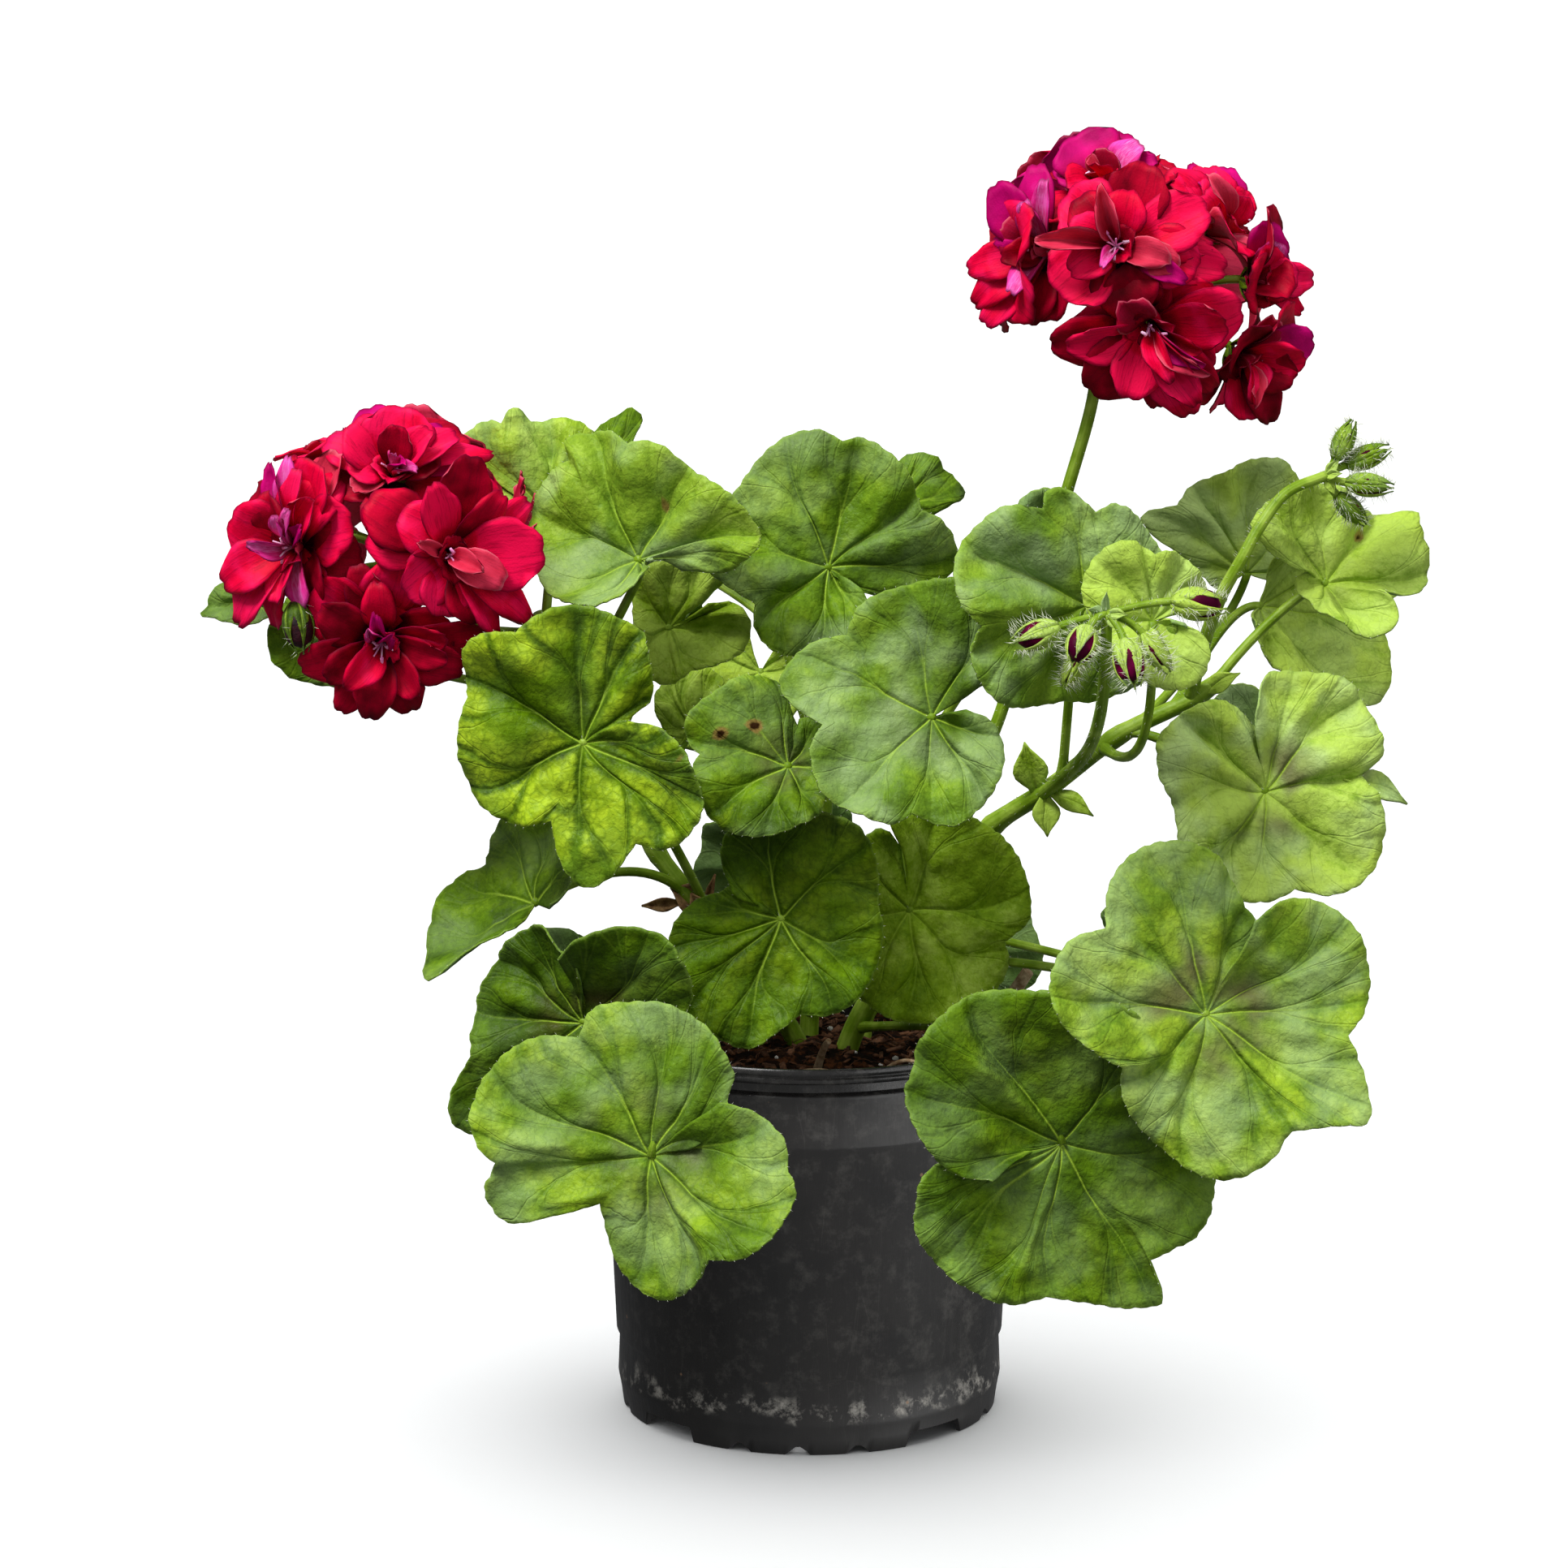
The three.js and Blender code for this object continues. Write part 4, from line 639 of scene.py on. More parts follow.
    # Painted sheen: soft grey-green patches, as much as each leaf's share gives, stand in for satin
    # highlights
    painted_sheen = node("MapRange", cloud, 0.4, 0.64, 0.1, 0.9, **SMOOTH)
    painted_sheen = node("Math", painted_sheen, painted_sheen_share, operation="MULTIPLY")
    painted_sheen = node("Math", painted_sheen, 0.7, operation="MULTIPLY")
    colour = node("MixRGB", painted_sheen, colour, "#A6BC8C")
    ring = node("MapRange", reach, 0.06, 0.2, **SMOOTH)
    ring_end = node("MapRange", reach, 0.55, 0.25, **SMOOTH)
    ring = node("Math", ring, ring_end, operation="MULTIPLY")
    stain = node("MapRange", cloud, 0.38, 0.62, 0.1, 0.9, **SMOOTH)
    ring = node("Math", ring, stain, operation="MULTIPLY")
    ring = node("Math", ring, zone, operation="MULTIPLY")
    colour = node("MixRGB", ring, colour, "#4A3420")
    fade = node("MapRange", reach, 0.0, 0.95, 0.85, 0.1, **SMOOTH)
    veins = node("Math", main, fade, operation="MULTIPLY")
    veins = node("Math", veins, bold, operation="MULTIPLY")
    veins = node("Math", fork, 0.1, veins, operation="MULTIPLY_ADD", use_clamp=True)
    veins = node("Math", twig, 0.05, veins, operation="MULTIPLY_ADD", use_clamp=True)
    colour = node("MixRGB", veins, colour, "#A9BF80" if under else "#9BBB38")
    mesh_shown = node("Math", net, 0.09, operation="MULTIPLY")
    colour = node("MixRGB", mesh_shown, colour, "#6F8A50" if under else "#2A4804")
    # Painted highlight: a pale line along the rim stands for light caught in the fringe hairs
    rim = node("MapRange", reach, 0.975, 1.0, 0.0, 0.3, **SMOOTH)
    colour = node("MixRGB", rim, colour, "#93B44C")
    tan_ring = node("MapRange", speck, 0.02, 0.35, 0.0, 0.8, **SMOOTH)
    colour = node("MixRGB", tan_ring, colour, "#8C6C3A")
    core = node("MapRange", speck, 0.4, 0.7, 0.0, 0.95, **SMOOTH)
    colour = node("MixRGB", core, colour, "#2C1206")
    join(shader, Base_Color=colour)

    # The veins lie in furrows on the upper side and stand out on the lower one
    pucker = node("TexNoise", place, Scale=per_mm(3.6))
    groove = node("MapRange", main_gap, 1.0, 0.0, **SMOOTH)
    branch = node("MapRange", fork_gap, 1.1, 0.0, **SMOOTH)
    groove = node("Math", groove, bold, operation="MULTIPLY")
    furrow = node("Math", branch, 0.65, groove, operation="MULTIPLY_ADD")
    furrow = node("Math", twig, 0.45, furrow, operation="MULTIPLY_ADD")
    furrow = node("Math", net, 0.12, furrow, operation="MULTIPLY_ADD")
    deep = node("Math", furrow, 1.1 if under else -0.8, operation="MULTIPLY")
    deep = node("Math", pucker, 2.2, deep, operation="MULTIPLY_ADD")
    deep = node("Math", grain, 0.9, deep, operation="MULTIPLY_ADD")
    height = node("Math", down, 0.3, deep, operation="MULTIPLY_ADD")
    join(shader, Normal=node("Bump", Height=height, Strength=0.75, Distance=0.5 * MM))
    return made


def petal_finish(name, back):
    """Geranium petal, a thin velvet: glowing crimson over a near-black heart, partly painted shade, and
    duller rose on its back.
    """
    made, node, shader = finish(name, Roughness=0.5, Specular_IOR_Level=0.1, IOR=1.36)
    place = node("TexCoord", out=3)
    chart = node("SeparateXYZ", node("UVMap", uv_map="UVMap")).node
    side, reach = chart.outputs[0], chart.outputs[1]
    look = node("SeparateColor", node("Attribute", attribute_name="look")).node
    tone, magenta, white = look.outputs[0], look.outputs[1], look.outputs[2]
    patch = node("TexNoise", place, Scale=per_mm(7))
    # The petal darkens towards its claw: partly its own deeper colour there, partly painted shade where the
    # petals crowd into the flower's heart
    light = node("MapRange", reach, 0.05, 0.55, -0.6, 0.0, **SMOOTH)
    light = node("Math", light, tone, operation="ADD")
    light = node("Math", patch, 0.8, light, operation="MULTIPLY_ADD")
    light = node("Math", light, 0.4, operation="SUBTRACT")
    if back:
        shades = ((0, "#640016"), (0.5, "#AC102C"), (1, "#D83A58"))
    else:
        shades = ((0, "#240004"), (0.3, "#740010"), (0.6, "#C40024"), (0.85, "#DC0030"), (1, "#F00C4A"))
    colour = node("ValToRGB", light, stops=shades)

    # Fine veins fan out from the claw: stripes along the petal that wander a little
    fan = node("CombineXYZ", side, node("Math", reach, 0.12, operation="MULTIPLY"))
    streaks = node("TexNoise", fan, Scale=26, Detail=3)
    fleck = node("TexNoise", fan, Scale=60)
    veins = node("MapRange", streaks, 0.52, 0.66, 0.0, 0.42)
    colour = node("MixRGB", veins, colour, "#8A1C34" if back else "#6A0018")
    flush = node("MapRange", reach, 0.15, 0.7, 0.2, 1.0)
    flush = node("Math", flush, magenta, operation="MULTIPLY")
    pink = ((0.2, "#3C0020"), (0.55, "#9C0058"), (0.85, "#D0087A"), (1, "#E83AA4"))
    colour = node("MixRGB", flush, colour, node("ValToRGB", light, stops=pink))
    blanch = node("MapRange", fleck, 0.42, 0.6, 0.15, 1.0)
    blanch = node("Math", blanch, white, operation="MULTIPLY")
    middle = node("Math", side, 0.5, 0.24, operation="COMPARE")
    middle = node("MapRange", middle, 0.0, 1.0, 0.25, 1.0)
    blanch = node("Math", blanch, middle, operation="MULTIPLY")
    colour = node("MixRGB", blanch, colour, "#F2A6EC")
    edge = node("Math", side, 0.5, operation="SUBTRACT")
    edge = node("Math", edge, operation="ABSOLUTE")
    edge = node("MapRange", edge, 0.455, 0.5, 0.0, 0.7)
    tip = node("MapRange", reach, 0.955, 1.0, 0.0, 0.7)
    edge = node("Math", edge, tip, operation="MAXIMUM")
    colour = node("MixRGB", edge, colour, "#D86478" if back else "#5C0022")
    join(shader, Base_Color=colour)
    nap = node("TexNoise", place, Scale=per_mm(0.5))
    height = node("Math", streaks, 1.0, nap, operation="MULTIPLY_ADD")
    join(shader, Normal=node("Bump", Height=height, Strength=0.3, Distance=0.25 * MM))
    return made


def stalk_finish():
    """Soft green stem, satin under its down, with fine ribs along it and paler patches."""
    made, node, shader = finish("Living stem, ribbed and downy", Roughness=0.45, Specular_IOR_Level=0.3,
                                Sheen_Weight=0.04, Sheen_Roughness=0.35, Sheen_Tint="#F2F6E0", IOR=1.4)
    place = node("TexCoord", out=3)
    chart = node("SeparateXYZ", node("UVMap", uv_map="UVMap")).node
    along = node("Math", chart.outputs[1], 0.02, operation="MULTIPLY")
    ribs = node("CombineXYZ", chart.outputs[0], along)
    ribs = node("TexNoise", ribs, Scale=14)
    patch = node("TexNoise", place, Scale=per_mm(8), Detail=3)
    light = node("Math", ribs, 0.5, patch, operation="MULTIPLY_ADD")
    colour = node("ValToRGB", light, stops=((0.3, "#3E5C02"), (0.7, "#6C8C12"), (1, "#9CB844")))
    join(shader, Base_Color=colour)
    fine = node("TexNoise", place, Scale=per_mm(0.7))
    height = node("Math", ribs, 1.5, fine, operation="MULTIPLY_ADD")
    join(shader, Normal=node("Bump", Height=height, Strength=0.4, Distance=0.3 * MM))
    return made


def dry_finish(name, dark, light_shade, roughness):
    """Dry plant matter such as bark, coir or a withered bud: dull, streaked from dark to light."""
    made, node, shader = finish(name, Roughness=roughness, Specular_IOR_Level=0.25)
    place = node("TexCoord", out=3)
    streak = node("TexNoise", place, Scale=per_mm(2.5), Detail=5, Roughness=0.65)
    colour = node("ValToRGB", streak, stops=((0.35, dark), (0.7, light_shade)))
    join(shader, Base_Color=colour)
    fine = node("TexNoise", place, Scale=per_mm(0.8), Detail=4)
    join(shader, Normal=node("Bump", Height=fine, Strength=0.7, Distance=0.5 * MM))
    return made


def pot_finish():
    """Injection-moulded black polypropylene: satin with fine scuffs, dust dried on low down, dirt specks."""
    made, node, shader = finish("Black polypropylene, moulded and scuffed", IOR=1.49, Specular_IOR_Level=0.2)
    place = node("TexCoord", out=3)
    height = node("SeparateXYZ", place, out=2)
    cloud = node("TexNoise", place, Scale=per_mm(22), Detail=5, Roughness=0.6)
    stretched = node("Mapping", place, Scale=(1, 1, 0.12))
    drawn = node("TexNoise", stretched, Scale=per_mm(1.6), Detail=4, Roughness=0.7)
    slanted = node("Mapping", place, Rotation=(0.4, 0.9, 0.5), Scale=(1, 1, 0.08))
    scuffs = node("TexVoronoi", slanted, Scale=per_mm(7), feature="DISTANCE_TO_EDGE")
    scuffs = node("MapRange", scuffs, 0.012, 0.0, 0.0, 0.5)
    worn = node("MapRange", cloud, 0.52, 0.62)
    scuffs = node("Math", scuffs, worn, operation="MULTIPLY")
    colour = node("ValToRGB", cloud, stops=((0.3, "#080808"), (0.7, "#131211")))
    scuffs = node("Math", scuffs, 0.22, operation="MULTIPLY")
    colour = node("MixRGB", scuffs, colour, "#4A4844")
    waved = node("Math", cloud, 14 * MM, height, operation="MULTIPLY_ADD")
    low = node("MapRange", waved, 24 * MM, 20 * MM, 0.1, 1.0, **SMOOTH)
    foot = node("MapRange", waved, 15.5 * MM, 18 * MM, **SMOOTH)
    flecks = node("TexNoise", place, Scale=per_mm(6), Detail=7, Roughness=0.75)
    flecks = node("MapRange", flecks, 0.5, 0.72, 0.0, 0.6)
    dust = node("Math", low, foot, operation="MULTIPLY")
    dust = node("Math", dust, flecks, operation="MULTIPLY")
    colour = node("MixRGB", dust, colour, "#8A8780")
    specks = node("TexVoronoi", place, Scale=per_mm(13))
    specks = node("MapRange", specks, 0.05, 0.03, 0.0, 0.7)
    colour = node("MixRGB", specks, colour, "#5A4634")
    join(shader, Base_Color=colour)
    rough = node("MapRange", drawn, 0.3, 0.7, 0.4, 0.52)
    polished = node("MapRange", height, 97 * MM, 101 * MM, 0.0, -0.2)
    rough = node("Math", rough, polished, operation="ADD")
    rough = node("Math", dust, 0.3, rough, operation="MULTIPLY_ADD")
    join(shader, Roughness=rough)
    relief = node("Math", cloud, 0.6, drawn, operation="MULTIPLY_ADD")
    join(shader, Normal=node("Bump", Height=relief, Strength=0.12, Distance=0.5 * MM))
    return made


def hair_finish():
    """Plant hair: fine, almost colourless and a little glossy."""
    made, node, shader = finish("Plant hair, pale and silky", Roughness=0.4, Specular_IOR_Level=0.5,
                                Sheen_Weight=0.3, Sheen_Tint="#FFFFFF")
    place = node("TexCoord", out=3)
    tint = node("TexNoise", place, Scale=per_mm(3))
    colour = node("ValToRGB", tint, stops=((0.3, "#D5DDB4"), (0.7, "#F3F5E4")))
    join(shader, Base_Color=colour)
    return made


def soil_finish():
    """Moist potting soil of peat and coir: near black with rust-brown crumbs, quite matt."""
    made, node, shader = finish("Potting soil, peat and coir", Roughness=0.85, Specular_IOR_Level=0.12)
    place = node("TexCoord", out=3)
    crumbs = node("TexVoronoi", place, Scale=per_mm(2.2), out=1)
    crumbs = node("SeparateColor", crumbs)
    fine = node("TexNoise", place, Scale=per_mm(1.2), Detail=6, Roughness=0.7)
    mixed = node("Math", crumbs, 0.5, fine, operation="MULTIPLY_ADD")
    shades = ((0.3, "#050201"), (0.62, "#120803"), (0.85, "#2B1507"), (1, "#5E361A"))
    colour = node("ValToRGB", mixed, stops=shades)
    join(shader, Base_Color=colour)
    join(shader, Normal=node("Bump", Height=mixed, Strength=1.0, Distance=1.2 * MM))
    return made


# The bark and the old stalks are dull and streaked, stipules paler and papery, perlite is a chalky white
# speck, stamens shine softly, and a withered petal is nearly black
UPPER_LEAF = leaf_finish("Leaf, upper side", False)
LOWER_LEAF = leaf_finish("Leaf, lower side", True)
PETAL_FACE = petal_finish("Petal, velvet face", False)
PETAL_BACK = petal_finish("Petal, rose back", True)
STALK = stalk_finish()
HAIR = hair_finish()
POT = pot_finish()
SOIL = soil_finish()
BARK = dry_finish("Bark and coir, dry", "#2A150B", "#80573A", 0.85)
STRAW = dry_finish("Old stalk, dried to tan", "#8A6A48", "#CDB694", 0.7)
DRY_STIPULE = dry_finish("Dry stipule, papery brown", "#5E3C22", "#B08C5C", 0.7)
PERLITE = dry_finish("Perlite, chalky", "#A8A59C", "#E4E2DA", 0.9)
STAMEN = dry_finish("Stamen, silky pink", "#F078C8", "#FFE0F8", 0.5)
WITHERED = dry_finish("Withered petal, nearly black", "#0E0408", "#3A0A18", 0.6)


# Shapes

def smoothstep(low, high, value):
    """0 below low, 1 above high, and an even slope between them without corners."""
    t = min(1, max(0, (value - low) / (high - low)))
    return t * t * (3 - 2 * t)


def smooth_line(points, steps=10):
    """The points of a smooth line through a few given ones (centripetal, so that it never loops)."""
    points = [Vector(p) for p in points]
    ends = [2 * points[0] - points[1]] + points + [2 * points[-1] - points[-2]]
    line = [points[0]]
    for a, b, c, d in zip(ends, ends[1:], ends[2:], ends[3:]):
        ab, bc, cd = [max(math.sqrt((q - p).length), 1e-4) for p, q in ((a, b), (b, c), (c, d))]
        leave = ((b - a) / ab - (c - a) / (ab + bc) + (c - b) / bc) * bc
        arrive = ((c - b) / bc - (d - b) / (bc + cd) + (d - c) / cd) * bc
        for step in range(1, steps + 1):
            t = step / steps
            line.append(b * (2 * t ** 3 - 3 * t ** 2 + 1) + leave * (t ** 3 - 2 * t ** 2 + t)
                        + c * (3 * t ** 2 - 2 * t ** 3) + arrive * (t ** 3 - t ** 2))
    return line


def evenly(line, count):
    """A line's points set out again in count equal steps."""
    lengths = [0]
    for a, b in zip(line, line[1:]):
        lengths.append(lengths[-1] + (b - a).length)
    made = []
    k = 0
    for step in range(count + 1):
        want = lengths[-1] * step / count
        while k < len(line) - 2 and lengths[k + 1] < want:
            k += 1
        part = (want - lengths[k]) / max(lengths[k + 1] - lengths[k], 1e-9)
        made.append(line[k].lerp(line[k + 1], min(1, max(0, part))))
    return made


def bezier(points, count):
    """Points along a curve from the first point to the last that leans towards those between."""
    made = []
    for step in range(count + 1):
        row = [Vector(p) for p in points]
        while len(row) > 1:
            row = [a.lerp(b, step / count) for a, b in zip(row, row[1:])]
        made.append(row[0])
    return made


def new_mesh():
    """An empty mesh with the UV map and the attributes that the finishes read."""
    bm = bmesh.new()
    bm.loops.layers.uv.new("UVMap")
    bm.verts.layers.float.new("span")
    bm.verts.layers.float.new("speck")
    bm.verts.layers.float_color.new("look")
    return bm


def bent_grid(bm, columns, rows, place, chart=None, look=None, marks=None):
    """A grid bent into shape. place gives the point for each share across and along, chart its UV, and
    marks its span and speck; edges that meet or shrink to a point are joined."""
    made = bmesh.ops.create_grid(bm, x_segments=columns, y_segments=rows, size=0.5)["verts"]
    shares = {v: (round(v.co.x * columns + columns / 2) / columns, round(v.co.y * rows + rows / 2) / rows)
              for v in made}
    faces = {f for v in made for f in v.link_faces}
    uv = bm.loops.layers.uv["UVMap"]
    span, speck = bm.verts.layers.float["span"], bm.verts.layers.float["speck"]
    colour = bm.verts.layers.float_color["look"]
    for face in faces:
        face.smooth = True
        for loop in face.loops:
            loop[uv].uv = chart(*shares[loop.vert]) if chart else shares[loop.vert]
    for vert, (u, v) in shares.items():
        vert.co = place(u, v)
        if look:
            vert[colour] = (*look, 0)[:4]
        if marks:
            vert[span], vert[speck] = marks(u, v)
    bmesh.ops.remove_doubles(bm, verts=made, dist=0.001)
    return faces


def tube(bm, line, radii, sides=10):
    """A round tube along a line, tapering from one radius to the other, closed at both ends."""
    rows = len(line) - 1
    ways = [(line[min(i + 1, rows)] - line[max(i - 1, 0)]).normalized() for i in range(rows + 1)]
    side = ways[0].orthogonal().normalized()
    frames = []
    for way in ways:
        side = (side - way * side.dot(way)).normalized()
        frames.append((side, way.cross(side)))
    length = sum((b - a).length for a, b in zip(line, line[1:]))

    def place(u, v):
        ring = round(v * (rows + 2)) - 1
        at = min(max(ring, 0), rows)
        closed = ring < 0 or ring > rows
        if closed:
            radius = 0
        elif callable(radii):
            radius = radii(at / rows)
        else:
            radius = radii[0] + (radii[1] - radii[0]) * at / rows
        a, b = frames[at]
        turn = 2 * math.pi * u
        return line[at] + (a * math.cos(turn) + b * math.sin(turn)) * radius

    bent_grid(bm, sides, rows + 2, place, lambda u, v: (u, v * length * MM * 10))


def hair(bm, root, way, length, radius=0.07):
    """One tapering hair."""
    way = way.normalized()
    turn = way.to_track_quat("Z", "Y").to_matrix().to_4x4()
    bmesh.ops.create_cone(bm, segments=3, cap_ends=True, radius1=radius, radius2=0, depth=length,
                          matrix=Matrix.Translation(root + way * length / 2) @ turn)


def hairs_along(bm, draws, line, radius, spacing, length):
    """Hairs all round a stalk, one for each step of spacing along it."""
    total = sum((b - a).length for a, b in zip(line, line[1:]))
    points = evenly(line, max(2, int(total / spacing)))
    for a, b in zip(points, points[1:]):
        way = (b - a).normalized()
        side = way.orthogonal().normalized()
        side.rotate(Matrix.Rotation(draws.uniform(0, 2 * math.pi), 3, way))
        lean = side + way * draws.uniform(-0.3, 0.4)
        hair(bm, a + side * radius * 0.9, lean, length * draws.uniform(0.6, 1.2), 0.06)


def leaflet(bm, at, points, face, length, width, look=(0.5, 0.1, 0), cup=0.14):
    """A small pointed leaflet, hollow along its middle."""
    along = Vector(points).normalized()
    normal = Vector(face)
    normal = (normal - along * normal.dot(along)).normalized()
    across = along.cross(normal)

    def place(u, v):
        side = 2 * u - 1
        wide = width * 0.5 * (0.3 + 0.7 * smoothstep(0, 0.45, v)) * (1 - smoothstep(0.5, 1.04, v))
        return (Vector(at) + along * length * v + across * side * wide
                + normal * (abs(side) * wide * cup * 2 + 0.06 * length * math.sin(math.pi * v)))

    chart = lambda u, v: (u - 0.5, 0.2 + 0.6 * v)
    bent_grid(bm, 6, 8, place, chart, look, lambda u, v: (width, 0))


def finished(name, bm, finishes, slot, *nodes, wall=0, under=0):
    """A finished piece of the plant that stands for the given solids. A wall makes its sheets solid."""
    bmesh.ops.scale(bm, vec=(MM, MM, MM), verts=bm.verts)
    mesh = bpy.data.meshes.new(name)
    bm.to_mesh(mesh)
    bm.free()
    for each in finishes:
        mesh.materials.append(each)
    mesh.shade_smooth()
    made = bpy.data.objects.new(name, mesh)
    bpy.context.scene.collection.objects.link(made)
    if wall:
        solid = made.modifiers.new("Wall", "SOLIDIFY")
        solid.thickness = wall * MM
        solid.offset = -1
        solid.material_offset = under
        solid.material_offset_rim = 0
        solid.use_even_offset = False
    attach(made, "root")
    if nodes:
        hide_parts(*nodes)
    return made


# Leaves

STEM_LINES = {name: smooth_line(stem["line"], 16) for name, stem in STEMS.items()}


def facing(turn, rise):
    """The way that a leaf's upper face looks, for its turn from the front and its rise above level."""
    a, e = math.radians(turn), math.radians(rise)
    return Vector((math.sin(a) * math.cos(e), -math.cos(a) * math.cos(e), math.sin(e)))


def leaf_axes(leaf):
    """The two directions in a leaf's plane in which its edge is measured, and the way it faces."""
    normal = facing(*leaf["face"])
    if "edge" in leaf:
        return Vector((1, -normal.x / normal.y, 0)), Vector((0, -normal.z / normal.y, 1)), normal
    turn = math.radians(leaf["face"][0])
    across = Vector((math.cos(turn), math.sin(turn), 0))
    return across, normal.cross(across), normal


def round_edge(size, tip):
    """The plain round leaf's edge and its notches: seven lobes with a notch between each two."""
    edge = []
    notches = []
    for part in range(-9, 10):
        turn = part * LOBE_ANGLE / 3
        shrink = 1 - 0.25 * smoothstep(100, 175, abs(turn))
        notched = part % 3 == 0 and part != 0
        edge.append((tip + turn, size * shrink * (0.88 if notched else 1)))
        if notched:
            notches.append(tip + turn)
    return edge, notches


def crenate(points, pitch, depth):
    """Shallow round teeth along a stretch of edge, pointing away from the hub."""
    run = 0
    made = []
    for k, point in enumerate(points):
        run += (point[0] - points[k - 1][0]).length if k else 0
        tooth = abs(math.sin(math.pi * run / pitch)) - 0.6
        made.append((point[0] + point[0].normalized() * tooth * depth, point[1]))
    return made


def leaf_outline(leaf, draws, pitch=1.4):
    """Points round a leaf's edge, smooth between its notches, each with its direction from the hub."""
    if "edge" in leaf:
        edge, notches = leaf["edge"], leaf["notches"]
    else:
        edge, notches = round_edge(leaf["size"], leaf["tip"])
    if edge[-1][0] - edge[0][0] > CLOSED_SLIT:
        start, reach = edge[0]
        edge = ((start - 16, reach * 0.7), (start - 8, reach * 0.94), *edge)
    flat = [Vector((math.cos(math.radians(t)) * r, math.sin(math.radians(t)) * r, 0)) for t, r in edge]
    end = len(edge) - 1
    breaks = [0] + [k for k, (t, r) in enumerate(edge) if t in notches and 0 < k < end] + [end]
    outline = []
    for first, last in zip(breaks, breaks[1:]):
        line = smooth_line(flat[first:last + 1], 8)
        length = sum((b - a).length for a, b in zip(line, line[1:]))
        points = evenly(line, max(2, round(length / pitch)))
        turned = []
        start, end = edge[first][0], edge[last][0]
        for k, point in enumerate(points):
            guess = start + (end - start) * k / (len(points) - 1)
            angle = math.degrees(math.atan2(point.y, point.x))
            turned.append((point, angle + 360 * round((guess - angle) / 360)))
        teeth = crenate(turned, draws.uniform(3.6, 5.2), 0.5)
        outline += teeth if not outline else teeth[1:]
    return outline


def lobe_place(turn, veins):
    """How many main veins lie before this direction, with the share of the way to the next one, and
    the angle between the two veins."""
    if turn <= veins[0]:
        gap = veins[1] - veins[0]
        return (turn - veins[0]) / gap, gap
    for k, (a, b) in enumerate(zip(veins, veins[1:])):
        if turn <= b:
            return k + (turn - a) / (b - a), b - a
    gap = veins[-1] - veins[-2]
    return len(veins) - 1 + (turn - veins[-1]) / gap, gap


